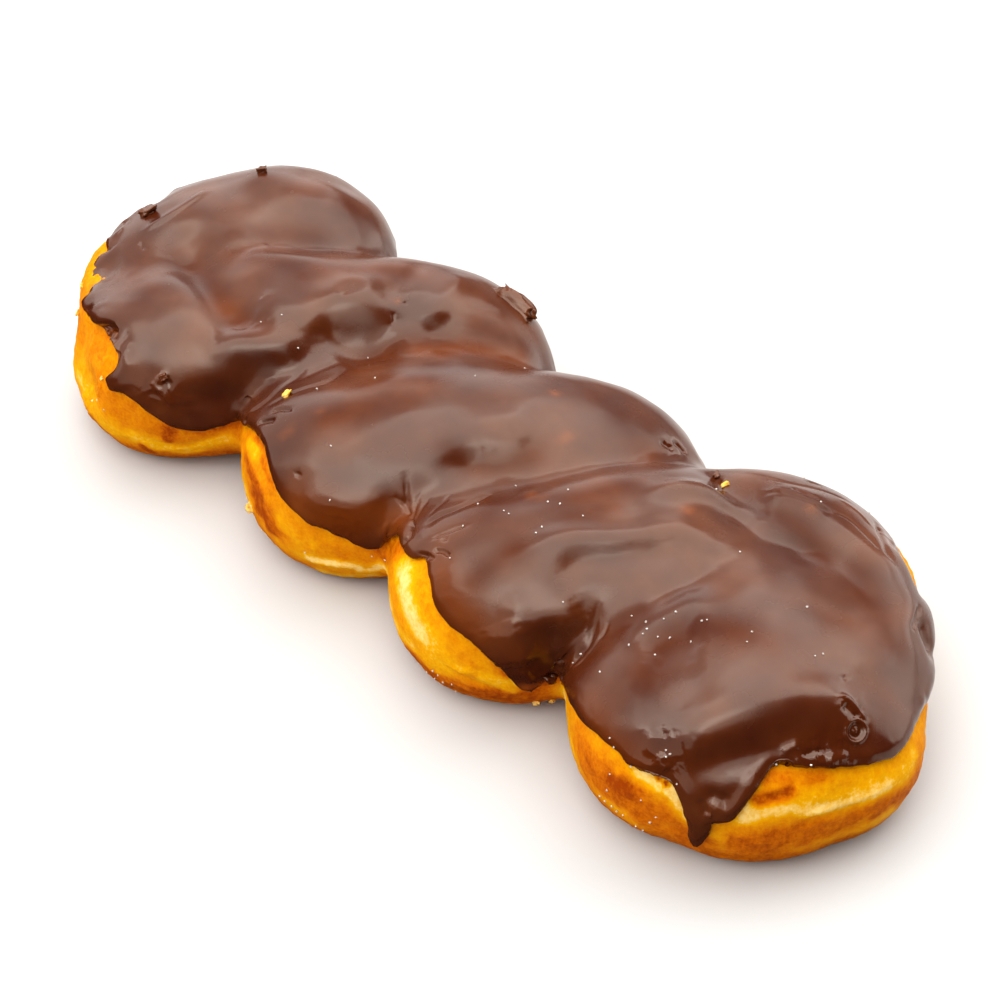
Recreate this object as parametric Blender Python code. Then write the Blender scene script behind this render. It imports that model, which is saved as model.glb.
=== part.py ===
"""A doughnut twist with a coat of chocolate icing: two dough ropes wound round each other.

The dough runs along X, from its broad end at -X to its rounded end at +X, and rests on z = 0.
Sizes are in metres.
"""

import math
from typing import NamedTuple

import bmesh
import bpy
import numpy as np
from mathutils import Matrix, Vector
from mathutils.bvhtree import BVHTree

MM = 0.001

DOUGH_COLOUR = (0.80, 0.42, 0.06)
DOUGH_ROUGHNESS = 0.6
ICING_COLOUR = (0.09, 0.03, 0.015)
ICING_ROUGHNESS = 0.3

# Rope sections are ovals with fuller corners than an ellipse, sunk a little into the table and cut flat.
SECTION_POWER = 2.4
SINK = 3.5 * MM

# Where the ropes cross: the upper one's and the lower one's centre height, half width and half height.
OVER_Z = 20 * MM
OVER_SECTION = (20 * MM, 18 * MM)
UNDER_Z = 12 * MM
UNDER_SECTION = (16 * MM, 13 * MM)

RING_POINTS = 28
RINGS_PER_SPAN = 8
# A rope's end is a cap of this many rings, which is this many half widths long and closes at this share
# of the last step.
CAP_RINGS = 6
CAP_LENGTH = 0.85
CAP_TIP = 0.3

# The fused ropes: the voxels they are fused at, rounds of smoothing before and after the relief, and the
# triangles they are brought down to.
VOXEL = 1.4 * MM
CREASE_SMOOTHING = 8
EDGE_SMOOTHING = 5
DOUGH_TRIANGLES = 4800
# What lies lower than this is pressed flat on the table.
BASE_SNAP = 0.1 * MM
MASS_SUBDIVISIONS = 4

# The icing's coat: its clearance from the dough, its thickness over the top and at its rim, and how far
# from the rim it takes to reach full thickness.
CLEARANCE = 0.3 * MM
ICING_THICKNESS = 1.9 * MM
RIM_THICKNESS = 1.0 * MM
RIM_WIDTH = 3 * MM
# Each round of smoothing fills the creases, and gives a crest back this share of what it loses.
ICING_SMOOTHING = 8
SETTLING = 0.9
THINNEST_ICING = 0.8 * MM
# The edges near the icing's rim are split until they are this short, and shorter on the thin drip, in at
# most this many rounds.
RIM_EDGE = 3.2 * MM
DRIP_EDGE = 1.6 * MM
RIM_SPLITS = 4
# A corner closer to the rim than this share of an edge is taken as on it.
SNAP = 0.2


class Lobe(NamedTuple):
    """A bulge at the side of the twist, where a rope turns back: its centre, half width and half height."""

    x: float
    y: float
    half_width: float
    half_height: float


# The bulges on the -Y side and the +Y side, each from the broad end to the rounded end.
LEFT_LOBES = (
    Lobe(-76 * MM, -24.5 * MM, 21 * MM, 19.5 * MM),
    Lobe(-22.5 * MM, -21 * MM, 18.5 * MM, 19 * MM),
    Lobe(25.5 * MM, -21.5 * MM, 18.5 * MM, 19 * MM),
    Lobe(75 * MM, -16 * MM, 22 * MM, 19 * MM),
)
RIGHT_LOBES = (
    Lobe(-78 * MM, 19 * MM, 18 * MM, 19.5 * MM),
    Lobe(-28 * MM, 20 * MM, 18 * MM, 19 * MM),
    Lobe(21 * MM, 17.5 * MM, 18 * MM, 19 * MM),
    Lobe(64 * MM, 26 * MM, 18.5 * MM, 19 * MM),
)
# The ropes' outer ends, pressed on to the other rope.
FAR_ENDS = (Lobe(-88 * MM, -10 * MM, 16 * MM, 18.5 * MM), Lobe(-91 * MM, 10 * MM, 16 * MM, 19 * MM))
NEAR_ENDS = (Lobe(85 * MM, 19 * MM, 18 * MM, 18 * MM), Lobe(96 * MM, 4 * MM, 21 * MM, 18 * MM))


class Mass(NamedTuple):
    """An egg-shaped swelling that joins the rope ends: its centre and half sizes."""

    x: float
    y: float
    z: float
    half_length: float
    half_width: float
    half_height: float


MASSES = (
    Mass(-87 * MM, -3 * MM, 15 * MM, 24 * MM, 32 * MM, 21 * MM),
    Mass(-10 * MM, 0 * MM, 14 * MM, 75 * MM, 22 * MM, 20.5 * MM),
    Mass(57 * MM, -2 * MM, 14 * MM, 26 * MM, 19 * MM, 22 * MM),
    Mass(81 * MM, -1 * MM, 15 * MM, 32 * MM, 34 * MM, 22 * MM),
)


class Dent(NamedTuple):
    """A round swelling of the dough's skin, or a hollow where the push is negative."""

    x: float
    y: float
    z: float
    radius: float
    push: float


DENTS = (
    Dent(-33 * MM, -2 * MM, 37 * MM, 7 * MM, -2.5 * MM),
    Dent(-24 * MM, 9 * MM, 37 * MM, 6 * MM, -1.8 * MM),
    Dent(-42 * MM, 3 * MM, 40 * MM, 6 * MM, 1.5 * MM),
    Dent(9 * MM, -11 * MM, 37 * MM, 6 * MM, -1.2 * MM),
    Dent(-92 * MM, -30 * MM, 33 * MM, 10 * MM, -1.8 * MM),
)


class Furrow(NamedTuple):
    """A furrow along the top, from one place in plan to another, or a ridge where the push is positive."""

    x: float
    y: float
    x_end: float
    y_end: float
    radius: float
    push: float


FURROWS = (
    Furrow(-85 * MM, -10 * MM, -55 * MM, -18 * MM, 5 * MM, -1.3 * MM),
    Furrow(46 * MM, 23 * MM, 57 * MM, 17 * MM, 4.5 * MM, -0.9 * MM),
    Furrow(57 * MM, 17 * MM, 71 * MM, 20.5 * MM, 4.5 * MM, -0.9 * MM),
    Furrow(67 * MM, 30 * MM, 85 * MM, 29 * MM, 5 * MM, 0.7 * MM),
    Furrow(85 * MM, 29 * MM, 97 * MM, 23 * MM, 5 * MM, 0.7 * MM),
)


class Scallop(NamedTuple):
    """A place in plan where the icing's rim is higher than elsewhere, or lower where the lift is negative."""

    x: float
    y: float
    radius: float
    lift: float


# The rim's usual height, the thin drip, and the rim's rises and falls, from the -Y side round to the +Y side.
RIM_HEIGHT = 22 * MM
DRIP = Scallop(94 * MM, -32.5 * MM, 2 * MM, -14 * MM)
SCALLOPS = (
    Scallop(-84 * MM, -38 * MM, 18 * MM, 10 * MM),
    Scallop(-108 * MM, -6 * MM, 22 * MM, 8 * MM),
    Scallop(-56 * MM, -33 * MM, 12 * MM, -6 * MM),
    Scallop(-29 * MM, -37 * MM, 10 * MM, 8 * MM),
    Scallop(-3 * MM, -34 * MM, 9 * MM, -2 * MM),
    Scallop(22 * MM, -36 * MM, 14 * MM, 9 * MM),
    Scallop(47 * MM, -29 * MM, 6 * MM, -11 * MM),
    Scallop(76 * MM, -37 * MM, 12 * MM, 4 * MM),
    Scallop(106 * MM, -16 * MM, 13 * MM, 7 * MM),
    Scallop(100 * MM, -31 * MM, 4 * MM, -5 * MM),
    Scallop(112 * MM, 8 * MM, 12 * MM, 3 * MM),
    DRIP,
    Scallop(86 * MM, 40 * MM, 10 * MM, 7 * MM),
    Scallop(62 * MM, 45 * MM, 12 * MM, -4 * MM),
    Scallop(22 * MM, 37 * MM, 12 * MM, -3 * MM),
    Scallop(-2 * MM, 31 * MM, 7 * MM, -5 * MM),
    Scallop(-27 * MM, 37 * MM, 10 * MM, 3 * MM),
    Scallop(-78 * MM, 38 * MM, 14 * MM, -4 * MM),
)


# The broken flake on the +Y side: where it stands, the way it runs, how far it leans, and its size. Its
# ends are lower than its middle by the crown, and one end is higher than the other by the slant.
FLAKE_PLACE = Vector((-23.2 * MM, 31.9 * MM, 33 * MM))
FLAKE_DIRECTION = Vector((0.95, 0.1, -0.3))
FLAKE_LEAN = 0.5
FLAKE_LENGTH = 10.5 * MM
FLAKE_HEIGHT = 2.9 * MM
FLAKE_THICKNESS = 1 * MM
FLAKE_ROOT = 1 * MM
FLAKE_BEND = 0.5 * MM
FLAKE_CROWN = 0.3
FLAKE_SLANT = 0.3
FLAKE_STEPS = 4


class Station(NamedTuple):
    """One place along a rope: its centre, and its half width and half height there."""

    x: float
    y: float
    z: float
    half_width: float
    half_height: float


def catmull_rom(points, spans):
    """Points along a smooth curve through every row of points, with that many steps in each span."""
    rows = np.vstack([2 * points[0] - points[1], points, 2 * points[-1] - points[-2]])
    steps = np.arange(spans)[:, None] / spans
    pieces = []
    for a, b, c, d in zip(rows, rows[1:], rows[2:], rows[3:]):
        pieces.append(
            0.5 * (2 * b + (c - a) * steps + (2 * a - 5 * b + 4 * c - d) * steps**2
                   + (3 * b - a - 3 * c + d) * steps**3)
        )
    pieces.append(points[-1:])
    return np.vstack(pieces)


def rounded_ends(line):
    """The rope's line with rings that close each end in a rounded cap."""
    caps = []
    for end, before in ((line[0], line[1]), (line[-1], line[-2])):
        outward = end[:3] - before[:3]
        outward /= np.linalg.norm(outward)
        cap = []
        for k in range(1, CAP_RINGS + 1):
            angle = 0.5 * math.pi * k / (CAP_RINGS + CAP_TIP)
            ring = end.copy()
            ring[:3] += outward * CAP_LENGTH * end[3] * math.sin(angle)
            ring[3:] *= math.cos(angle)
            cap.append(ring)
        caps.append(cap)
    return np.vstack([np.array(caps[0][::-1]), line, np.array(caps[1])])


def oval(angle):
    """Across and up, from -1 to 1, at one angle round a section."""
    across, up = math.cos(angle), math.sin(angle)
    power = 2 / SECTION_POWER
    return math.copysign(abs(across) ** power, across), math.copysign(abs(up) ** power, up)


def loft_rope(bm, stations):
    """Adds one closed rope of oval rings to bm."""
    line = rounded_ends(catmull_rom(np.array(stations), RINGS_PER_SPAN))
    centres = line[:, :3]
    tangents = np.gradient(centres, axis=0)
    outline = [oval(2 * math.pi * k / RING_POINTS) for k in range(RING_POINTS)]
    rings = []
    for centre, tangent, (half_width, half_height) in zip(centres, tangents, line[:, 3:]):
        side = Vector(tangent).cross(Vector((0, 0, 1))).normalized()
        up = side.cross(Vector(tangent)).normalized()
        rings.append([
            bm.verts.new(Vector(centre) + side * half_width * across + up * half_height * rise)
            for across, rise in outline
        ])
    for first, second in zip(rings, rings[1:]):
        for k in range(RING_POINTS):
            after = (k + 1) % RING_POINTS
            bm.faces.new((first[k], first[after], second[after], second[k]))
    bm.faces.new(rings[0][::-1])
    bm.faces.new(rings[-1])


def add_mass(bm, mass):
    """Adds one closed egg shape, with the ropes' fuller section, to bm."""
    ball = bmesh.ops.create_icosphere(bm, subdivisions=MASS_SUBDIVISIONS, radius=1)["verts"]
    for vert in ball:
        x, y, z = vert.co
        radius = math.hypot(x, y)
        across, up = oval(math.atan2(z, radius))
        spread = across / radius if radius > 1e-6 else 0
        vert.co = Vector((x * spread, y * spread, up))
    place = Matrix.Translation(mass[:3]) @ Matrix.Diagonal((*mass[3:], 1))
    bmesh.ops.transform(bm, matrix=place, verts=ball)


def at_lobe(lobe):
    """Where a rope turns back, resting on the table."""
    return Station(lobe.x, lobe.y, lobe.half_height - SINK, lobe.half_width, lobe.half_height)


def over(left, right):
    """Where a rope crosses on top, halfway between two lobes."""
    return Station(0.5 * (left.x + right.x), 0.5 * (left.y + right.y), OVER_Z, *OVER_SECTION)


def under(right, left):
    """Where a rope crosses below, halfway between two lobes."""
    return Station(0.5 * (left.x + right.x), 0.5 * (left.y + right.y), UNDER_Z, *UNDER_SECTION)


def rope_stations():
    """The stations of the two ropes, from the broad end to the rounded end."""
    ropes = [[at_lobe(end)] for end in FAR_ENDS]
    ropes[1] += [at_lobe(RIGHT_LOBES[0]), under(RIGHT_LOBES[0], LEFT_LOBES[1])]
    for k, (left, right) in enumerate(zip(LEFT_LOBES, RIGHT_LOBES[1:] + NEAR_ENDS[1:])):
        rope = ropes[k % 2]
        rope += [at_lobe(left), over(left, right), at_lobe(right)]
        if k + 2 < len(LEFT_LOBES):
            rope.append(under(right, LEFT_LOBES[k + 2]))
    ropes[0].append(at_lobe(NEAR_ENDS[0]))
    return ropes


def solid_object(name, mesh, colour, roughness):
    """A named object with its own material."""
    material = bpy.data.materials.new(name + "_surface")
    material.use_nodes = True
    shader = material.node_tree.nodes["Principled BSDF"]
    shader.inputs["Base Color"].default_value = (*colour, 1.0)
    shader.inputs["Roughness"].default_value = roughness
    shader.inputs["Metallic"].default_value = 0.0
    mesh.materials.clear()
    mesh.materials.append(material)
    made = bpy.data.objects.new(name, mesh)
    bpy.context.scene.collection.objects.link(made)
    return made


def apply_modifiers(obj):
    """Gives obj the mesh that its modifiers make, and removes them."""
    graph = bpy.context.evaluated_depsgraph_get()
    mesh = bpy.data.meshes.new_from_object(obj.evaluated_get(graph))
    obj.modifiers.clear()
    obj.data = mesh


def vertex_array(mesh, attribute):
    """An attribute of three numbers for each of the mesh's vertices, as rows."""
    values = np.empty(3 * len(mesh.vertices), dtype=np.float32)
    mesh.vertices.foreach_get(attribute, values)
    return values.reshape(-1, 3).astype(float)


def move_vertices(mesh, places):
    """Puts the mesh's vertices at the rows of places."""
    mesh.vertices.foreach_set("co", places.astype(np.float32).ravel())
    mesh.update()


def relief_push(places, normals):
    """How far each place is pushed along the skin's normal by the dents and the furrows."""
    push = np.zeros(len(places))
    for dent in DENTS:
        distance = np.linalg.norm(places - np.array(dent[:3]), axis=1)
        push += dent.push * np.exp(-((distance / dent.radius) ** 2))
    facing_up = np.maximum(normals[:, 2], 0)
    for furrow in FURROWS:
        start, end = np.array(furrow[:2]), np.array(furrow[2:4])
        run = end - start
        share = np.clip((places[:, :2] - start) @ run / (run @ run), 0, 1)
        distance = np.linalg.norm(places[:, :2] - start - share[:, None] * run, axis=1)
        push += furrow.push * facing_up * np.exp(-((distance / furrow.radius) ** 2))
    return push


def press_relief(mesh):
    """Pushes the skin out or in at each dent and furrow, and cuts the base flat on the table."""
    places = vertex_array(mesh, "co")
    normals = vertex_array(mesh, "normal")
    places += normals * relief_push(places, normals)[:, None]
    places[:, 2] = np.maximum(places[:, 2], 0)
    move_vertices(mesh, places)


def build_dough():
    """The two ropes and the masses that join them, fused into one solid of baked dough."""
    bm = bmesh.new()
    for stations in rope_stations():
        loft_rope(bm, stations)
    for mass in MASSES:
        add_mass(bm, mass)
    bmesh.ops.recalc_face_normals(bm, faces=bm.faces)
    mesh = bpy.data.meshes.new("dough_twist")
    bm.to_mesh(mesh)
    bm.free()
    dough = solid_object("dough_twist", mesh, DOUGH_COLOUR, DOUGH_ROUGHNESS)
    remesh = dough.modifiers.new("Fuse ropes", "REMESH")
    remesh.mode = "VOXEL"
    remesh.voxel_size = VOXEL
    dough.modifiers.new("Soften creases", "SMOOTH").iterations = CREASE_SMOOTHING
    apply_modifiers(dough)
    press_relief(dough.data)
    dough.modifiers.new("Round the base", "SMOOTH").iterations = EDGE_SMOOTHING
    apply_modifiers(dough)
    triangles = 2 * len(dough.data.polygons)
    dough.modifiers.new("Few faces", "DECIMATE").ratio = DOUGH_TRIANGLES / triangles
    apply_modifiers(dough)
    places = vertex_array(dough.data, "co")
    places[places[:, 2] < BASE_SNAP, 2] = 0
    move_vertices(dough.data, places)
    return dough


def height_over_rim(place):
    """How far a place on the dough is above the icing's rim there."""
    height = RIM_HEIGHT
    for scallop in SCALLOPS:
        distance = math.hypot(place.x - scallop.x, place.y - scallop.y)
        height += scallop.lift * math.exp(-((distance / scallop.radius) ** 2))
    return place.z - height


def too_long(edge):
    """Whether an edge is near the icing's rim and still coarser than the rim should be."""
    length = edge.calc_length()
    middle = 0.5 * (edge.verts[0].co + edge.verts[1].co)
    near_drip = math.hypot(middle.x - DRIP.x, middle.y - DRIP.y) < 2 * DRIP.radius
    if near_drip and middle.z < RIM_HEIGHT + length:
        return length > DRIP_EDGE
    nearest = min(abs(height_over_rim(vert.co)) for vert in edge.verts)
    return length > RIM_EDGE and nearest < 0.5 * length


def cut_patch(bm):
    """Cuts bm's skin along the icing's rim and keeps what is above."""
    for _ in range(RIM_SPLITS):
        bmesh.ops.subdivide_edges(bm, edges=[edge for edge in bm.edges if too_long(edge)], cuts=1)
        bmesh.ops.triangulate(bm, faces=bm.faces)
    heights = {vert: height_over_rim(vert.co) for vert in bm.verts}
    for edge in bm.edges:
        first, second = edge.verts
        if heights[first] * heights[second] < 0:
            share = heights[first] / (heights[first] - heights[second])
            near = first if share < 0.5 else second
            if min(share, 1 - share) < SNAP:
                heights[near] = 0.0
    for edge in list(bm.edges):
        first, second = edge.verts
        if heights[first] * heights[second] < 0:
            share = heights[first] / (heights[first] - heights[second])
            _, added = bmesh.utils.edge_split(edge, first, share)
            heights[added] = 0.0
    rim = [vert for vert in bm.verts if heights[vert] == 0]
    bmesh.ops.connect_verts(bm, verts=rim)
    below = [face for face in bm.faces if sum(heights[vert] for vert in face.verts) < 0]
    bmesh.ops.delete(bm, geom=below, context="FACES")
    bmesh.ops.triangulate(bm, faces=bm.faces)


def largest_sheet(bm):
    """Keeps the largest joined sheet of bm's faces."""
    left = set(bm.faces)
    sheets = []
    while left:
        found = {left.pop()}
        front = list(found)
        while front:
            face = front.pop()
            for edge in face.edges:
                for other in edge.link_faces:
                    if other in left:
                        left.remove(other)
                        found.add(other)
                        front.append(other)
        sheets.append(found)
    keep = max(sheets, key=len)
    bmesh.ops.delete(bm, geom=[face for face in bm.faces if face not in keep], context="FACES")


def rim_distances(bm, rim):
    """Roughly how far each vertex is from the rim, along the edges."""
    reach = {vert: 0.0 if vert in rim else math.inf for vert in bm.verts}
    front = set(rim)
    while front:
        following = set()
        for vert in front:
            for edge in vert.link_edges:
                other = edge.other_vert(vert)
                step = reach[vert] + edge.calc_length()
                if step < min(reach[other], 2 * RIM_WIDTH):
                    reach[other] = step
                    following.add(other)
        front = following
    return reach


def coat_top(bm, rim):
    """The inner and the outer place of the icing over each vertex of bm."""
    reach = rim_distances(bm, rim)
    inner = {vert: vert.co + vert.normal * CLEARANCE for vert in bm.verts}
    outer = {}
    for vert in bm.verts:
        share = math.sin(0.5 * math.pi * min(1.0, reach[vert] / RIM_WIDTH))
        depth = RIM_THICKNESS + (ICING_THICKNESS - RIM_THICKNESS) * share
        outer[vert] = inner[vert] + vert.normal * depth
    for _ in range(ICING_SMOOTHING):
        smoothed = dict(outer)
        for vert in set(bm.verts) - rim:
            around = [edge.other_vert(vert) for edge in vert.link_edges]
            middle = sum((outer[other] for other in around), Vector()) / len(around)
            moved = outer[vert].lerp(middle, 0.5)
            sunk = (outer[vert] - moved).dot(vert.normal)
            smoothed[vert] = moved + vert.normal * max(0.0, SETTLING * sunk)
        outer = smoothed
    places = np.array([vert.co for vert in bm.verts])
    normals = np.array([vert.normal for vert in bm.verts])
    for vert, push in zip(bm.verts, relief_push(places, normals)):
        depth = (outer[vert] - inner[vert]).dot(vert.normal)
        outer[vert] += vert.normal * max(push, min(0.0, THINNEST_ICING - depth))
    return inner, outer


def build_icing(dough):
    """The coat of icing: a closed shell that follows the dough from just above it, and fills its creases."""
    bm = bmesh.new()
    bm.from_mesh(dough.data)
    bmesh.ops.triangulate(bm, faces=bm.faces)
    cut_patch(bm)
    largest_sheet(bm)
    bm.normal_update()
    inner, outer = coat_top(bm, {vert for edge in bm.edges if edge.is_boundary for vert in edge.verts})
    shell = bmesh.new()
    low = {vert: shell.verts.new(inner[vert]) for vert in bm.verts}
    high = {vert: shell.verts.new(outer[vert]) for vert in bm.verts}
    for face in bm.faces:
        corners = list(face.verts)
        shell.faces.new([high[vert] for vert in corners])
        shell.faces.new([low[vert] for vert in corners[::-1]])
    for edge in bm.edges:
        if edge.is_boundary:
            loop = edge.link_loops[0]
            first, second = loop.vert, loop.link_loop_next.vert
            shell.faces.new((low[first], low[second], high[second], high[first]))
    bmesh.ops.triangulate(shell, faces=shell.faces)
    mesh = bpy.data.meshes.new("chocolate_icing")
    shell.to_mesh(mesh)
    shell.free()
    bm.free()
    return solid_object("chocolate_icing", mesh, ICING_COLOUR, ICING_ROUGHNESS)


def add_flake(icing):
    """Fuses a broken flake of icing on to the coat, standing on its edge behind a crossing."""
    tree = BVHTree.FromPolygons(
        [vert.co for vert in icing.data.vertices], [face.vertices[:] for face in icing.data.polygons]
    )
    root, normal, _, _ = tree.find_nearest(FLAKE_PLACE)
    along = FLAKE_DIRECTION - normal * FLAKE_DIRECTION.dot(normal)
    along.normalize()
    up = (normal + FLAKE_LEAN * Vector((0, 1, 0))).normalized()
    across = along.cross(up)
    bm = bmesh.new()
    rings = []
    for k in range(FLAKE_STEPS + 1):
        share = 2 * k / FLAKE_STEPS - 1
        centre = root + along * (0.5 * FLAKE_LENGTH * share) - normal * (FLAKE_BEND * share**2)
        top = FLAKE_HEIGHT * (1 - FLAKE_CROWN * share**2 + FLAKE_SLANT * share)
        rings.append([
            bm.verts.new(centre + across * (0.5 * side * FLAKE_THICKNESS) + up * rise)
            for side, rise in ((-1, -FLAKE_ROOT), (1, -FLAKE_ROOT), (1, top), (-1, top))
        ])
    for first, second in zip(rings, rings[1:]):
        for k in range(4):
            after = (k + 1) % 4
            bm.faces.new((first[k], first[after], second[after], second[k]))
    bm.faces.new(rings[0][::-1])
    bm.faces.new(rings[-1])
    bmesh.ops.recalc_face_normals(bm, faces=bm.faces)
    mesh = bpy.data.meshes.new("icing_flake")
    bm.to_mesh(mesh)
    bm.free()
    flake = solid_object("icing_flake", mesh, ICING_COLOUR, ICING_ROUGHNESS)
    union = icing.modifiers.new("Fuse the flake", "BOOLEAN")
    union.operation = "UNION"
    union.object = flake
    apply_modifiers(icing)
    bpy.data.objects.remove(flake)


def centre_on_origin(objects):
    """Moves the meshes so that the twist's box is centred over the origin."""
    places = [vertex_array(obj.data, "co") for obj in objects]
    low = np.min([each.min(axis=0) for each in places], axis=0)
    high = np.max([each.max(axis=0) for each in places], axis=0)
    shift = -0.5 * (low + high)
    shift[2] = 0.0
    for obj, each in zip(objects, places):
        move_vertices(obj.data, each + shift)


def main():
    """Builds the twist in a scene that has nothing else."""
    for old in list(bpy.data.objects):
        bpy.data.objects.remove(old)
    dough = build_dough()
    icing = build_icing(dough)
    add_flake(icing)
    centre_on_origin([dough, icing])


if __name__ == "__main__":
    main()
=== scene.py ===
"""Looks of a doughnut twist: fried dough, a coat of chocolate icing, and the sugar and crumbs on them.

The twist lies along X, from its broad end at -X to its rounded end at +X, on z = 0. Sizes are in metres.
Places that were read from the photograph are pixels of its 1000 by 1000 frame, and are looked up on the
twist through the camera.
"""

import logging
import math
import random
from dataclasses import dataclass, field, replace
from enum import Enum

import bpy
import numpy as np
from mathutils import Euler, Matrix, Vector, noise
from mathutils.bvhtree import BVHTree
from mathutils.kdtree import KDTree


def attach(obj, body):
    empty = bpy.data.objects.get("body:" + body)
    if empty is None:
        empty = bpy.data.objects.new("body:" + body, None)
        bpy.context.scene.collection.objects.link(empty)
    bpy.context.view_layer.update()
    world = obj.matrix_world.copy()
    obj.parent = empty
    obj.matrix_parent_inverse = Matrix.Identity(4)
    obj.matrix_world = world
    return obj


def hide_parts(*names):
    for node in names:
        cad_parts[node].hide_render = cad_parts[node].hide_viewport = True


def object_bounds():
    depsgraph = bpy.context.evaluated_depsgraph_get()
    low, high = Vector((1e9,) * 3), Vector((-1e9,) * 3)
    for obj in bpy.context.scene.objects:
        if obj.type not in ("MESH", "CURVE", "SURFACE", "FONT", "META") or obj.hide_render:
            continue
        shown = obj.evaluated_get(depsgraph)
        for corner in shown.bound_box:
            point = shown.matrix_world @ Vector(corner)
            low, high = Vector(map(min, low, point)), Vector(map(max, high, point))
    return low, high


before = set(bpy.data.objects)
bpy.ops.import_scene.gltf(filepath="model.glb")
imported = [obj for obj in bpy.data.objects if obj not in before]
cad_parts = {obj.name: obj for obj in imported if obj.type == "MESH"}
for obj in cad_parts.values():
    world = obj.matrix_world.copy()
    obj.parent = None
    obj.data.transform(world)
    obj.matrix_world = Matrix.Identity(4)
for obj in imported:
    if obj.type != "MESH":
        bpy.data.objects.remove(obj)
CAD_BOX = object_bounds()

MM = 0.001
COAT_DEPTH = 1.5 * MM
MERGE_DISTANCE = 0.01 * MM
# One round of smoothing: half way to the neighbours' middle, and a little more back, so nothing shrinks.
RELAX_STEPS = (0.5, -0.51)
PHOTO_SIZE = 1000
LOG = logging.getLogger("twist")

Pixel = tuple[float, float]


def linear(hex_code: str) -> tuple[float, float, float, float]:
    """Turns an sRGB hex value into a linear colour.

    Args:
        hex_code: the colour, as "#rrggbb".

    Returns:
        The linear red, green and blue, and an alpha of 1.
    """
    parts = [int(hex_code[k:k + 2], 16) / 255 for k in (1, 3, 5)]
    red, green, blue = (c / 12.92 if c <= 0.04045 else ((c + 0.055) / 1.055) ** 2.4 for c in parts)
    return red, green, blue, 1.0


def add_node(
    tree: bpy.types.NodeTree,
    kind: str,
    sockets: dict | None = None,
    stops: dict[float, str] | None = None,
    **settings,
) -> bpy.types.Node:
    """Adds a node with its settings, its values and the links into it.

    Args:
        tree: the node tree.
        kind: the node's type, such as "ShaderNodeTexNoise".
        sockets: for an input's name or number, its value or the output that is linked to it.
        stops: where the node is a colour ramp, a hex colour for each place from 0 to 1.
        settings: the node's own properties.

    Returns:
        The new node.
    """
    node = tree.nodes.new(kind)
    for name, value in settings.items():
        setattr(node, name, value)
    for k, (place, code) in enumerate((stops or {}).items()):
        elements = node.color_ramp.elements
        stop = elements[k] if k < 2 else elements.new(place)
        stop.position = place
        stop.color = linear(code)
    for name, value in (sockets or {}).items():
        if isinstance(value, bpy.types.NodeSocket):
            tree.links.new(value, node.inputs[name])
        else:
            node.inputs[name].default_value = value
    return node


def new_material(name: str) -> tuple[bpy.types.Material, bpy.types.NodeTree, bpy.types.Node]:
    """Makes a material with nodes.

    Args:
        name: the material's name.

    Returns:
        The material, its node tree and its shader.
    """
    material = bpy.data.materials.new(name)
    material.use_nodes = True
    return material, material.node_tree, material.node_tree.nodes["Principled BSDF"]


def away(azimuth: float, elevation: float) -> Vector:
    """The direction from the twist towards a place round it, given by two angles in degrees."""
    a, e = math.radians(azimuth), math.radians(elevation)
    return Vector((math.sin(a) * math.cos(e), -math.cos(a) * math.cos(e), math.sin(e)))


def smooth_step(values: np.ndarray, low: float, high: float) -> np.ndarray:
    """Rises smoothly from 0 where values are low to 1 where they are high."""
    share = np.clip((values - low) / (high - low), 0, 1)
    return share * share * (3 - 2 * share)


def deselect_all() -> None:
    """Leaves object mode with nothing selected."""
    if bpy.context.object and bpy.context.object.mode != "OBJECT":
        bpy.ops.object.mode_set(mode="OBJECT")
    bpy.ops.object.select_all(action="DESELECT")


def make_active(piece: bpy.types.Object) -> None:
    """Selects a piece alone and makes it the active object.

    Args:
        piece: the piece.
    """
    deselect_all()
    piece.select_set(True)
    bpy.context.view_layer.objects.active = piece


def vertex_rows(mesh: bpy.types.Mesh) -> np.ndarray:
    """Reads where a mesh's vertices are.

    Args:
        mesh: the mesh.

    Returns:
        A row of three numbers for each vertex.
    """
    values = np.empty(3 * len(mesh.vertices), dtype=np.float32)
    mesh.vertices.foreach_get("co", values)
    return values.reshape(-1, 3).astype(float)


def normal_rows(mesh: bpy.types.Mesh) -> np.ndarray:
    """Reads the normals of a mesh's vertices.

    Args:
        mesh: the mesh.

    Returns:
        A row of three numbers for each vertex.
    """
    values = np.empty(3 * len(mesh.vertices), dtype=np.float32)
    mesh.vertex_normals.foreach_get("vector", values)
    return values.reshape(-1, 3).astype(float)


def place_vertices(mesh: bpy.types.Mesh, rows: np.ndarray) -> None:
    """Puts the vertices of mesh at the places in rows."""
    mesh.vertices.foreach_set("co", rows.astype(np.float32).ravel())
    mesh.update()


def surface_tree(*meshes: bpy.types.Mesh) -> BVHTree:
    """Makes a search tree of the faces of one mesh or more.

    Args:
        meshes: the meshes.

    Returns:
        The tree.
    """
    places, faces = [], []
    for mesh in meshes:
        start = len(places)
        places += [vertex.co for vertex in mesh.vertices]
        faces += [[start + k for k in face.vertices] for face in mesh.polygons]
    return BVHTree.FromPolygons(places, faces)


def copy_of_node(node: str, name: str) -> bpy.types.Object:
    """Copies a node of the frame and merges its loose triangles.

    Args:
        node: the node's name.
        name: the new piece's name.

    Returns:
        The new piece, shown, with its place in its mesh.
    """
    piece = bpy.data.objects.new(name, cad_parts[node].data.copy())
    piece.data.materials.clear()
    bpy.context.scene.collection.objects.link(piece)
    make_active(piece)
    bpy.ops.object.mode_set(mode="EDIT")
    bpy.ops.mesh.select_all(action="SELECT")
    bpy.ops.mesh.remove_doubles(threshold=MERGE_DISTANCE)
    bpy.ops.mesh.customdata_custom_splitnormals_clear()
    bpy.ops.object.mode_set(mode="OBJECT")
    return piece


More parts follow.
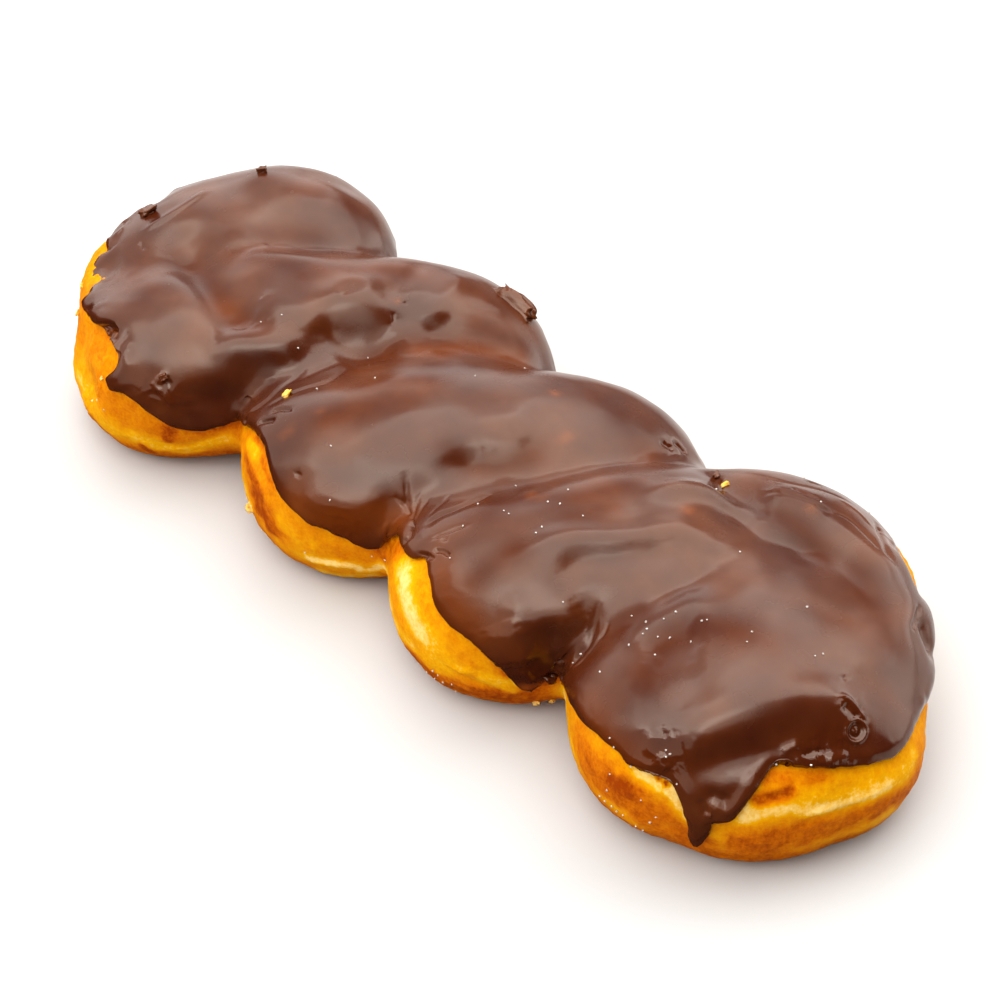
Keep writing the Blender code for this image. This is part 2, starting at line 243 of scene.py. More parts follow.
def join_pieces(parts: list[bpy.types.Object], name: str) -> bpy.types.Object:
    """Joins parts into the first of them.

    Args:
        parts: the parts.
        name: the joined piece's name.

    Returns:
        The joined piece.
    """
    deselect_all()
    for part in parts:
        part.select_set(True)
    bpy.context.view_layer.objects.active = parts[0]
    bpy.ops.object.join()
    parts[0].name = name
    return parts[0]


def subdivide_faces(piece: bpy.types.Object, chosen: np.ndarray, cuts: int) -> None:
    """Cuts the chosen faces of piece into smaller triangles.

    Args:
        piece: the piece.
        chosen: whether each face is chosen.
        cuts: the cuts in each edge.
    """
    make_active(piece)
    bpy.ops.object.mode_set(mode="EDIT")
    bpy.ops.mesh.select_mode(type="FACE")
    bpy.ops.mesh.select_all(action="DESELECT")
    bpy.ops.object.mode_set(mode="OBJECT")
    piece.data.polygons.foreach_set("select", chosen)
    bpy.ops.object.mode_set(mode="EDIT")
    bpy.ops.mesh.subdivide(number_cuts=cuts)
    bpy.ops.mesh.select_all(action="SELECT")
    bpy.ops.mesh.quads_convert_to_tris(quad_method="SHORTEST_DIAGONAL")
    bpy.ops.object.mode_set(mode="OBJECT")


def relax(mesh: bpy.types.Mesh, rounds: int, share: np.ndarray) -> None:
    """Smooths a mesh by moving each vertex towards the middle of its neighbours, and then out again.

    Args:
        mesh: the mesh.
        rounds: how often.
        share: how much of the move each vertex makes, from 0 to 1.
    """
    edges = np.empty(2 * len(mesh.edges), dtype=np.int32)
    mesh.edges.foreach_get("vertices", edges)
    first, second = edges.reshape(-1, 2).T
    count = len(mesh.vertices)
    degree = np.bincount(first, minlength=count) + np.bincount(second, minlength=count)
    rows = vertex_rows(mesh)
    for _ in range(rounds):
        for step in RELAX_STEPS:
            middle = np.stack([
                np.bincount(first, weights=rows[second, k], minlength=count)
                + np.bincount(second, weights=rows[first, k], minlength=count)
                for k in range(3)
            ], axis=1) / degree[:, None]
            rows += step * share[:, None] * (middle - rows)
    place_vertices(mesh, rows)


def field_noise(rows: np.ndarray, grain: float, octaves: int = 1, shift: float = 0.0) -> np.ndarray:
    """Smooth noise from about -1 to 1 at each place.

    Args:
        rows: the places.
        grain: the size of the noise's lumps, in metres.
        octaves: how many finer layers are added.
        shift: moves the noise, so that two fields differ.

    Returns:
        The noise, one number a place.
    """
    scaled = rows / grain + shift
    total = np.zeros(len(rows))
    for k in range(octaves):
        layer = scaled * 2**k
        total += 0.5**k * np.array([noise.noise(Vector(place)) for place in layer.tolist()])
    return total


def along(path: np.ndarray, spacing: float) -> np.ndarray:
    """Finds places at an even spacing along a smooth line through some points.

    Args:
        path: the points, as rows.
        spacing: about how far apart the places are.

    Returns:
        The places, as rows.
    """
    rows = np.vstack([2 * path[0] - path[1], path, 2 * path[-1] - path[-2]])
    lines = []
    for a, b, c, d in zip(rows, rows[1:], rows[2:], rows[3:]):
        count = max(2, int(np.linalg.norm(c - b) / spacing) + 1)
        t = np.linspace(0, 1, count, endpoint=False)[:, None]
        lines.append(0.5 * (2 * b + (c - a) * t + (2 * a - 5 * b + 4 * c - d) * t**2
                            + (3 * b - a - 3 * c + d) * t**3))
    return np.vstack([*lines, path[-1:]])


def nearest_on(
    rows: np.ndarray, path: np.ndarray, reach: float
) -> tuple[np.ndarray, np.ndarray, np.ndarray]:
    """Finds the places that are near a path.

    Args:
        rows: the places.
        path: the path's points.
        reach: how far from the path a place may be.

    Returns:
        The numbers of the places, their distances, and how far along the path they are, from 0 to 1.
    """
    low, high = path.min(axis=0) - reach, path.max(axis=0) + reach
    near = np.nonzero(np.all((rows > low) & (rows < high), axis=1))[0]
    gaps = np.linalg.norm(rows[near, None, :] - path[None, :, :], axis=2)
    closest = gaps.argmin(axis=1)
    return near, gaps[np.arange(len(near)), closest], closest / max(1, len(path) - 1)


def pair_in_order(first: np.ndarray, second: np.ndarray) -> np.ndarray:
    """Pairs the points of two lines so that both run on together and lie as close as they can.

    Args:
        first: the points of one line, as rows.
        second: the points of the other, from the same end.

    Returns:
        For each point of the first line, the middle of the points of the second that it is paired with.
    """
    gaps = np.sum((first[:, None, :] - second[None, :, :]) ** 2, axis=2)
    total = [list(np.cumsum(gaps[0]))]
    for row in gaps[1:].tolist():
        above = total[-1]
        sums = [above[0] + row[0]]
        for k in range(1, len(row)):
            sums.append(row[k] + min(above[k], above[k - 1], sums[-1]))
        total.append(sums)
    i, j = len(first) - 1, len(second) - 1
    pairs = [[] for _ in first]
    pairs[i].append(j)
    while i or j:
        steps = [(i - 1, j - 1), (i - 1, j), (i, j - 1)]
        i, j = min((step for step in steps if min(step) >= 0), key=lambda step: total[step[0]][step[1]])
        pairs[i].append(j)
    return np.array([second[chosen].mean(axis=0) for chosen in pairs])


@dataclass
class PhotoCamera:
    """The camera that sees the twist as the photograph does."""

    azimuth: float = 47.0
    elevation: float = 45.0
    distance: float = 537 * MM
    target: Vector = field(default_factory=lambda: Vector((6.54 * MM, -2.99 * MM, 19 * MM)))
    focal_pixels: float = 2580.0
    sensor: float = 36.0
    seat_reach: float = 0.2
    seat_steps: int = 50

    def __post_init__(self) -> None:
        """Works out the camera's place and directions."""
        self.back = away(self.azimuth, self.elevation)
        self.place = self.target + self.back * self.distance
        turn = math.radians(self.azimuth)
        self.right = Vector((math.cos(turn), math.sin(turn), 0))
        self.up = self.back.cross(self.right)

    def build(self) -> bpy.types.Object:
        """Makes the camera.

        Returns:
            The camera.
        """
        data = bpy.data.cameras.new("photo_camera")
        data.sensor_width = self.sensor
        data.lens = self.focal_pixels / PHOTO_SIZE * self.sensor
        camera = bpy.data.objects.new("photo_camera", data)
        axes = Matrix((self.right, self.up, self.back)).transposed()
        camera.matrix_world = Matrix.Translation(self.place) @ axes.to_4x4()
        bpy.context.scene.collection.objects.link(camera)
        bpy.context.scene.camera = camera
        return camera

    def ray(self, pixel: Pixel) -> Vector:
        """Finds the direction from the camera through a pixel.

        Args:
            pixel: the pixel.

        Returns:
            The direction, one long.
        """
        across = (pixel[0] - PHOTO_SIZE / 2) / self.focal_pixels
        down = (pixel[1] - PHOTO_SIZE / 2) / self.focal_pixels
        return (self.right * across - self.up * down - self.back).normalized()

    def pixels(self, rows: np.ndarray) -> np.ndarray:
        """Finds the pixels that show some places.

        Args:
            rows: the places.

        Returns:
            A pixel for each place, as rows.
        """
        offset = rows - np.array(self.place)
        depth = offset @ -np.array(self.back)
        across = offset @ np.array(self.right) / depth
        down = offset @ -np.array(self.up) / depth
        return PHOTO_SIZE / 2 + self.focal_pixels * np.stack([across, down], axis=1)

    def sees(self, tree: BVHTree, rows: np.ndarray, slack: float = 1.5 * MM) -> np.ndarray:
        """Tells which places nothing on a surface hides.

        Args:
            tree: the surface.
            rows: the places.
            slack: how far behind the surface a place may lie.

        Returns:
            Whether each place is seen.
        """
        seen = []
        for row in rows:
            line = Vector(row) - self.place
            gap = tree.ray_cast(self.place, line.normalized())[3]
            seen.append(gap is None or gap > line.length - slack)
        return np.array(seen)

    def cast(self, tree: BVHTree, pixel: Pixel) -> Vector | None:
        """The place on a surface that the camera sees at a pixel, if any."""
        return tree.ray_cast(self.place, self.ray(pixel))[0]

    def seat(self, tree: BVHTree, pixel: Pixel) -> tuple[Vector, Vector]:
        """Finds where something that is seen at a pixel lies on a surface.

        Args:
            tree: the surface.
            pixel: the pixel; from one outside the surface's contour the search goes inwards.

        Returns:
            The place and the surface's normal there.
        """
        for share in np.linspace(0, self.seat_reach, self.seat_steps):
            inwards = [(1 - share) * k + share * PHOTO_SIZE / 2 for k in pixel]
            place, normal, _, _ = tree.ray_cast(self.place, self.ray(inwards))
            if place:
                break
        return place, normal

    def look_up(self, tree: BVHTree, pixels: tuple[Pixel, ...]) -> np.ndarray:
        """The places on a surface that the camera sees at some pixels, as rows.

        Args:
            tree: the surface.
            pixels: the pixels; one that misses the surface takes the nearest place to its ray.

        Returns:
            The places.
        """
        found = []
        for pixel in pixels:
            hit = self.cast(tree, pixel)
            if hit is None:
                hit = tree.find_nearest(self.place + self.ray(pixel) * self.distance)[0]
            found.append(hit[:])
        return np.array(found)


class Way(Enum):
    """How a mark fades along its line: not at all, towards both ends, or from its start to its end."""

    EVEN = "even"
    ENDS = "ends"
    START = "start"


@dataclass(frozen=True)
class Mark:
    """A mark along a line of the photograph, or round one point of it.

    The radius is in millimetres. The amount is a push outwards in millimetres where the mark is a ridge or
    a furrow, and otherwise the value that it gives. The spacing of the line's points and the reach to each
    side are in radii, and the fade is the share of the line over which each end dies away.
    """

    line: tuple[Pixel, ...]
    radius: float
    amount: float
    way: Way = Way.EVEN
    spacing: float = 0.35
    reach: float = 2.4
    fade: float = 0.25

    def weigh(self, rows: np.ndarray, sight: PhotoCamera, tree: BVHTree) -> tuple[np.ndarray, np.ndarray]:
        """Finds the places under the mark.

        Args:
            rows: the places.
            sight: the camera that the line was seen through.
            tree: the surface that the line lies on.

        Returns:
            The numbers of the places near the line, and how strong the mark is at each.
        """
        path = sight.look_up(tree, self.line)
        radius = self.radius * MM
        if len(path) > 1:
            path = along(path, self.spacing * radius)
        near, gap, share = nearest_on(rows, path, self.reach * radius)
        weight = np.exp(-((gap / radius) ** 2))
        if self.way is Way.ENDS:
            weight *= smooth_step(np.minimum(share, 1 - share), 0, self.fade)
        if self.way is Way.START:
            weight *= 1 - share**2
        return near, weight


def press_marks(
    mesh: bpy.types.Mesh,
    marks: tuple[Mark, ...],
    sight: PhotoCamera,
    tree: BVHTree,
    under: np.ndarray | None = None,
    held: np.ndarray | None = None,
) -> None:
    """Pushes a skin out or in under each mark.

    Args:
        mesh: the skin.
        marks: the ridges and furrows.
        sight: the camera that they were seen through.
        tree: the surface that they lie on.
        under: whether each vertex is on the coat's hidden side, whose normals point at the dough.
        held: whether each vertex stays where it is.
    """
    rows, normals = vertex_rows(mesh), normal_rows(mesh)
    above = rows.copy()
    if under is not None:
        normals[under] *= -1
        above[under] += COAT_DEPTH * normals[under]
    move = np.zeros_like(rows)
    for mark in marks:
        near, weight = mark.weigh(above, sight, tree)
        move[near] += normals[near] * (mark.amount * MM * weight)[:, None]
    if held is not None:
        move[held] = 0
    place_vertices(mesh, rows + move)


def paint_marks(
    values: np.ndarray, marks: tuple[Mark, ...], rows: np.ndarray, sight: PhotoCamera, tree: BVHTree
) -> None:
    """Raises a value to each mark's own where it is lower.

    Args:
        values: the value at each place.
        marks: the marks.
        rows: the places.
        sight: the camera that the marks were seen through.
        tree: the surface that they lie on.
    """
    for mark in marks:
        near, weight = mark.weigh(rows, sight, tree)
        values[near] = np.maximum(values[near], mark.amount * weight)


def keep_in_box(mesh: bpy.types.Mesh) -> None:
    """Holds a mesh inside the solids' own box."""
    place_vertices(mesh, np.clip(vertex_rows(mesh), *CAD_BOX))


def store_values(mesh: bpy.types.Mesh, name: str, values: np.ndarray) -> None:
    """Keeps a number for each vertex of a mesh, for its material to read."""
    layer = mesh.attributes.new(name, "FLOAT", "POINT")
    layer.data.foreach_set("value", values.astype(np.float32))


# The broad forms of the coat that are finer than the solid's: shoulders, troughs, hollows, lumps and folds.
BROAD_MARKS = (
    Mark(((660, 742), (700, 727), (756, 710), (800, 700), (840, 704), (884, 712)), 4.5, 1.71, Way.ENDS),
    Mark(((625, 762), (665, 776), (710, 765), (760, 756), (800, 750), (850, 748), (895, 738)),
         3.6, -1.05, Way.ENDS),
    Mark(((738, 686),), 3.0, -0.25),
    Mark(((735, 685),), 6.0, 0.8),
    Mark(((640, 660), (672, 645), (705, 640)), 6.0, -1.2, Way.ENDS),
    Mark(((205, 352), (245, 347), (285, 349), (308, 352)), 3.4, 1.2, Way.ENDS),
    Mark(((172, 402), (205, 400), (240, 398), (280, 380)), 3.6, -1.12, Way.ENDS),
    Mark(((262, 176),), 5.0, 0.8),
    Mark(((312, 172), (348, 184)), 7.0, -1.1),
    Mark(((296, 496), (345, 506), (388, 512)), 3.4, 1.1, Way.ENDS),
    Mark(((310, 530), (345, 534), (385, 534)), 2.6, -0.4, Way.ENDS),
    Mark(((497, 606), (520, 614), (548, 618), (590, 611)), 3.2, 0.98, Way.ENDS),
    Mark(((540, 640), (560, 640)), 3.0, -0.4, Way.ENDS),
    Mark(((508, 618), (517, 645), (524, 668)), 4.2, 1.1, Way.ENDS),
    Mark(((524, 660), (545, 662), (560, 655)), 2.6, -0.45, Way.ENDS),
    Mark(((159, 242), (203, 279), (225, 308), (247, 326), (276, 336)), 4.6, -1.3, Way.ENDS),
    Mark(((238, 257), (270, 257), (300, 259), (325, 264)), 3.4, 0.6, Way.ENDS),
    Mark(((222, 325), (247, 341), (269, 345), (291, 339), (305, 328)), 4.0, 1.0, Way.ENDS),
    Mark(((251, 304), (282, 310), (313, 319), (330, 334)), 4.0, 0.81, Way.ENDS),
    Mark(((312, 312), (328, 331), (344, 348), (359, 356), (379, 352), (408, 341)), 3.2, -1.25, Way.ENDS),
    Mark(((435, 331), (446, 328)), 3.0, -0.7),
    Mark(((347, 297),), 4.0, 0.6),
    Mark(((373, 312),), 4.4, 0.8),
    Mark(((422, 295),), 4.4, 0.6),
    Mark(((459, 280), (440, 277), (421, 267), (408, 256), (389, 254), (371, 248), (345, 252)),
         1.8, -0.45, Way.ENDS),
    Mark(((424, 256), (446, 262), (466, 274)), 2.8, 0.65, Way.ENDS),
    Mark(((463, 301), (485, 309), (500, 308)), 1.6, -0.25, Way.ENDS),
    Mark(((476, 464), (492, 466)), 3.8, -0.9),
    Mark(((500, 466), (530, 461), (560, 453)), 3.4, -0.25, Way.ENDS),
    Mark(((468, 438), (500, 426), (535, 430)), 5.0, 0.7, Way.ENDS),
    Mark(((530, 490),), 1.3, 0.2),
    Mark(((534, 497),), 1.8, 0.25),
    Mark(((509, 576), (537, 547), (576, 539), (633, 541), (683, 532), (719, 551), (732, 566)),
         3.4, 1.2, Way.ENDS),
    Mark(((545, 592), (580, 562), (614, 555), (652, 549), (690, 552)), 3.0, -1.0, Way.ENDS),
    Mark(((706, 564), (698, 576), (681, 588), (643, 600)), 3.0, -0.8, Way.ENDS),
    Mark(((710, 589), (671, 612), (640, 631), (620, 650)), 3.4, 0.9, Way.ENDS),
    Mark(((566, 686), (578, 655), (592, 630), (598, 600)), 2.2, -0.91, Way.START),
    Mark(((513, 647), (518, 656), (527, 663), (541, 664), (549, 659)), 1.4, 0.3, Way.ENDS),
    Mark(((716, 474), (731, 496), (757, 518), (790, 537)), 2.8, -1.0, Way.START),
    Mark(((637, 493), (671, 489), (706, 492), (727, 503), (748, 514), (770, 530), (795, 543)),
         2.4, 1.4, Way.ENDS),
    Mark(((760, 497), (800, 500), (830, 515)), 4.0, 1.1, Way.ENDS),
    Mark(((815, 513), (831, 523), (846, 533), (861, 542), (877, 554), (892, 568), (902, 577)),
         1.8, 0.35, Way.ENDS),
    Mark(((902, 577), (908, 600), (903, 630), (913, 660), (921, 677)), 2.6, 0.52, Way.ENDS),
    Mark(((820, 640), (850, 655)), 6.0, 0.45),
    Mark(((700, 600), (740, 570)), 7.0, 0.45),
    Mark(((174, 274),), 2.0, 0.2),
    Mark(((236, 242),), 2.4, 0.29),
)

# At the far end the bare dough stands out as far as the icing above it, and is slimmer lower down.
BARE_MARKS = (
    Mark(((140, 232), (125, 240), (112, 250), (100, 265), (94, 285), (95, 305), (94, 320)),
         6.0, 2.2, Way.ENDS),
    Mark(((128, 230), (112, 242), (98, 256), (91, 272)), 6.0, 1.4, Way.ENDS),
    Mark(((75, 318), (72, 338), (73, 358), (77, 378), (86, 398), (100, 416)), 7.0, -3.2, Way.ENDS),
)

# Where the icing stopped short of the contour, so that the dough stands out past it.
UNCOVERED_MARKS = (
    Mark(((901, 545), (913, 558), (921, 580), (924, 604)), 3.0, 2.0, Way.ENDS),
    Mark(((925, 630), (930, 645)), 2.2, 1.8),
)

# The coat's fine relief: folds, wrinkles, slits and grooves between the lobes, lips at its edge, and dents.
FINE_MARKS = (
    Mark(((245, 421), (262, 403), (280, 388), (296, 378), (306, 366)), 0.8, -0.8, Way.START),
    Mark(((262, 411), (284, 397), (316, 385), (342, 376)), 0.7, -0.25, Way.ENDS),
    Mark(((290, 384), (317, 371), (343, 362)), 0.8, -0.25, Way.ENDS),
    Mark(((292, 397), (323, 384), (357, 364)), 0.6, -0.2, Way.ENDS),
    Mark(((271, 413), (280, 409), (293, 410)), 0.55, -0.6, Way.ENDS),
    Mark(((258, 425), (264, 421), (276, 419)), 0.6, -0.8, Way.ENDS),
    Mark(((411, 525), (407, 501), (406, 483), (405, 470)), 0.6, -0.6, Way.START),
    Mark(((409, 513), (402, 502), (394, 495)), 0.5, -0.5, Way.START),
    Mark(((412, 517), (416, 505), (422, 492)), 0.5, -0.35, Way.START),
    Mark(((415, 522), (422, 508), (431, 496)), 0.45, -0.2, Way.ENDS),
    Mark(((427, 519), (439, 506), (452, 494)), 0.5, -0.15, Way.ENDS),
    Mark(((424, 530), (437, 517), (456, 509), (475, 501), (494, 493)), 1.0, -0.45, Way.ENDS),
    Mark(((427, 541), (443, 534), (461, 527), (472, 525)), 0.5, -0.3, Way.ENDS),
    Mark(((440, 540), (448, 538)), 0.45, -0.35, Way.ENDS),
    Mark(((432, 551), (443, 551), (450, 557)), 0.6, -0.7, Way.ENDS),
    Mark(((422, 561), (427, 556), (435, 559), (439, 565)), 0.6, -0.8, Way.ENDS),
    Mark(((411, 523), (409, 535), (405, 541)), 0.9, -0.8),
    Mark(((562, 678), (567, 670), (576, 658), (587, 646), (592, 634), (596, 616), (599, 599)),
         0.8, -1.0, Way.START),
    Mark(((570, 672), (580, 662), (589, 652), (598, 640), (609, 627)), 0.5, -0.4, Way.ENDS),
    Mark(((600, 641), (610, 619)), 0.45, -0.2, Way.ENDS),
    Mark(((522, 669), (529, 678), (531, 684)), 0.9, 0.4, Way.ENDS),
    Mark(((718, 479), (719, 488)), 0.9, -0.7),
    Mark(((790, 488), (797, 489), (809, 495), (822, 500)), 0.5, -0.5, Way.ENDS),
    Mark(((808, 481), (820, 485)), 0.6, -0.6, Way.ENDS),
    Mark(((752, 478), (790, 483), (830, 493), (860, 509)), 0.5, -0.22, Way.ENDS),
    Mark(((745, 488), (780, 492), (815, 503), (845, 521)), 0.5, -0.22, Way.ENDS),
    Mark(((800, 476), (835, 486), (862, 503), (880, 522)), 0.5, -0.2, Way.ENDS),
    Mark(((825, 508), (848, 518), (868, 536), (884, 556)), 0.6, -0.25, Way.ENDS),
    Mark(((835, 497), (858, 512), (875, 530)), 0.5, 0.2, Way.ENDS),
    Mark(((875, 520), (882, 537), (888, 552), (896, 565)), 0.8, -0.5, Way.ENDS),
    Mark(((885, 527), (892, 541), (899, 556)), 0.6, 0.25, Way.ENDS),
    Mark(((920, 603), (918, 615), (912, 632)), 0.8, -0.6, Way.ENDS),
    Mark(((660, 440), (667, 445), (674, 450)), 0.6, -0.6, Way.ENDS),
    Mark(((672, 440), (680, 447), (687, 455)), 0.5, -0.5, Way.ENDS),
    Mark(((138, 236), (164, 218), (189, 202), (214, 187)), 0.9, 0.4, Way.ENDS),
    Mark(((141, 244), (143, 248)), 0.5, -0.3),
    Mark(((148, 380), (156, 386), (165, 395), (177, 411)), 0.7, 0.6, Way.ENDS),
    Mark(((158, 380), (164, 377)), 0.8, 0.5),
    Mark(((166, 380), (169, 384)), 0.7, -0.5),
    Mark(((393, 312), (393, 325)), 0.4, -0.2, Way.ENDS),
    Mark(((341, 289), (344, 292)), 0.7, -0.35),
    Mark(((406, 303),), 0.4, -0.35),
    Mark(((297, 474), (299, 475)), 0.5, -0.4),
    Mark(((844, 678),), 0.5, -0.3),
    Mark(((702, 798), (717, 808), (727, 811), (743, 798), (754, 783), (762, 768)), 1.3, 0.5, Way.ENDS),
    Mark(((714, 797), (722, 800)), 1.5, -0.7),
    Mark(((704, 815), (713, 815)), 0.6, 0.4, Way.ENDS),
    Mark(((702, 804), (705, 812)), 0.8, -0.5),
    Mark(((838, 699), (843, 696), (851, 701), (861, 714), (871, 726)), 0.5, 0.45, Way.ENDS),
    Mark(((843, 703), (852, 711), (860, 720)), 0.9, -0.55, Way.ENDS),
    Mark(((780, 753), (791, 748), (801, 742)), 0.9, 0.45, Way.ENDS),
    Mark(((826, 763), (838, 758), (850, 755)), 1.1, 0.5, Way.ENDS),
    Mark(((800, 757), (812, 752), (824, 749)), 0.6, -0.4, Way.ENDS),
    Mark(((655, 755), (663, 763), (670, 770)), 1.5, 0.5, Way.ENDS),
)


@dataclass(frozen=True)
class Crumple:
    """A patch where the coat's skin has crinkled. Its reach, height and grain are in millimetres."""

    pixel: Pixel
    reach: float
    height: float
    grain: float

    def gaps(self, rows: np.ndarray, sight: PhotoCamera, tree: BVHTree) -> np.ndarray:
        """How far each place is from the patch's middle, in the patch's reach."""
        middle = sight.look_up(tree, (self.pixel,))[0]
        return np.linalg.norm(rows - middle, axis=1) / (self.reach * MM)


CRUMPLES = (
    Crumple((655, 758), 8.0, 0.25, 3.2),
    Crumple((826, 757), 7.5, 0.22, 3.0),
    Crumple((157, 392), 6.0, 0.3, 3.0),
    Crumple((340, 528), 8.0, 0.18, 2.6),
    Crumple((672, 447), 4.0, 0.14, 2.2),
    Crumple((892, 540), 6.0, 0.2, 2.2),
)


@dataclass(frozen=True)
class Bubble:
    """A burst bubble: a pit with a thin raised ring, and a bead in its middle.

    Its heights are in millimetres, and its widths in its own radius.
    """

    pixel: Pixel
    radius: float
    ring_height: float = 0.4
    ring_width: float = 0.16
    pit_depth: float = 0.7
    pit_wall: tuple[float, float] = (0.45, 0.95)
    bead_height: float = 0.7
    bead_width: float = 0.4

    def gaps(self, rows: np.ndarray, sight: PhotoCamera, tree: BVHTree) -> np.ndarray:
        """How far each place is from the bubble's middle, in its radius."""
        middle = sight.look_up(tree, (self.pixel,))[0]
        return np.linalg.norm(rows - middle, axis=1) / self.radius

    def heights(self, gap: np.ndarray) -> np.ndarray:
        """Works out how the skin stands round the bubble.

        Args:
            gap: how far each place is from the middle, in the bubble's radius.

        Returns:
            How far each place is pushed out, in millimetres.
        """
        ring = self.ring_height * np.exp(-(((gap - 1) / self.ring_width) ** 2))
        pit = self.pit_depth * (1 - smooth_step(gap, *self.pit_wall))
        bead = self.bead_height * np.exp(-((gap / self.bead_width) ** 2))
        return ring - pit + bead


BUBBLE = Bubble((856, 731), 2.1 * MM)

# Where the camera sees the middle of the broken flake, and the icing's edge at the far end.
FLAKE_PIXEL = (516, 303)
FLAKE_REACH = 6.0 * MM
FAR_LIP_PIXELS = ((92, 300), (104, 322), (118, 336), (128, 356))

# Where the camera sees the icing's edge, from the far end round to the near end.
ICING_EDGE = (
    (153, 216), (134, 222), (125, 230), (108, 246), (96, 258), (87, 272), (85, 285), (88, 303),
    (89, 317), (99, 322), (112, 331), (120, 339), (124, 351), (122, 361), (109, 373), (116, 387),
    (122, 391), (139, 394), (149, 408), (154, 413), (172, 416), (183, 421), (195, 424), (206, 424),
    (215, 420), (230, 420), (244, 421), (250, 430), (257, 433), (259, 450), (266, 461), (268, 475),
    (273, 493), (284, 508), (298, 519), (304, 527), (314, 529), (321, 535), (335, 537), (341, 542),
    (353, 543), (365, 541), (382, 543), (396, 541), (405, 540), (410, 557), (418, 564), (427, 563),
    (432, 581), (436, 598), (442, 610), (450, 620), (461, 630), (481, 643), (489, 644), (506, 657),
    (510, 662), (513, 676), (520, 690), (534, 693), (542, 690), (548, 680), (556, 672), (558, 680),
    (551, 691), (552, 702), (558, 711), (562, 714), (576, 716), (585, 717), (600, 731), (606, 743),
    (615, 752), (625, 759), (638, 768), (651, 773), (661, 777), (671, 781), (681, 787), (684, 793),
    (692, 796), (700, 798), (696, 810), (696, 822), (695, 833), (697, 843), (706, 845), (709, 836),
    (715, 823), (716, 818), (726, 819), (736, 814), (743, 806), (753, 790), (760, 782), (771, 769),
    (779, 765), (796, 768), (818, 769), (841, 768), (859, 767), (869, 765), (887, 758), (894, 753),
    (908, 747), (914, 740), (921, 727), (925, 717), (935, 697), (936, 680),
)

# Where the icing is so thin that the dough's colour comes through.
THIN_MARKS = (
    Mark(((300, 508), (345, 518), (398, 520)), 5.0, 0.35),
    Mark(((440, 575), (452, 605), (480, 632)), 4.5, 0.25),
    Mark(((590, 705), (610, 735), (640, 760)), 4.0, 0.2),
    Mark(((420, 352), (470, 350), (520, 360)), 3.0, 0.25),
    Mark(((215, 300), (232, 318), (262, 332)), 3.0, 0.1),
    Mark(((688, 510),), 1.3, 0.45),
    Mark(((555, 393),), 0.9, 0.5),
    Mark(((440, 356), (470, 352), (510, 356)), 2.2, 0.22),
    Mark(((397, 301),), 0.8, 0.4),
    Mark(((526, 687), (540, 684)), 1.4, 0.8),
    Mark(((530, 494), (538, 498)), 1.1, 0.3),
    Mark(((811, 509),), 1.2, 0.3),
    Mark(((318, 412), (322, 410)), 0.8, 0.2),
    Mark(((283, 436), (289, 431)), 1.2, 0.2),
    Mark(((563, 440), (569, 436)), 1.0, 0.3),
)

# Where the icing stayed wet-looking: the burst bubble, the scar beside it, and the pinched tips.
WET_MARKS = (
    Mark((BUBBLE.pixel,), 2.6, 1.6),
    Mark(((843, 703), (852, 711), (860, 720)), 1.4, 1.6),
    Mark(((515, 655), (530, 668), (545, 672)), 3.0, 1.2),
    Mark(((800, 762), (830, 764), (862, 760)), 2.0, 1.0),
    Mark(((655, 758), (680, 782)), 3.0, 0.8),
    Mark(((122, 360), (150, 398), (178, 414)), 2.0, 0.8),
)

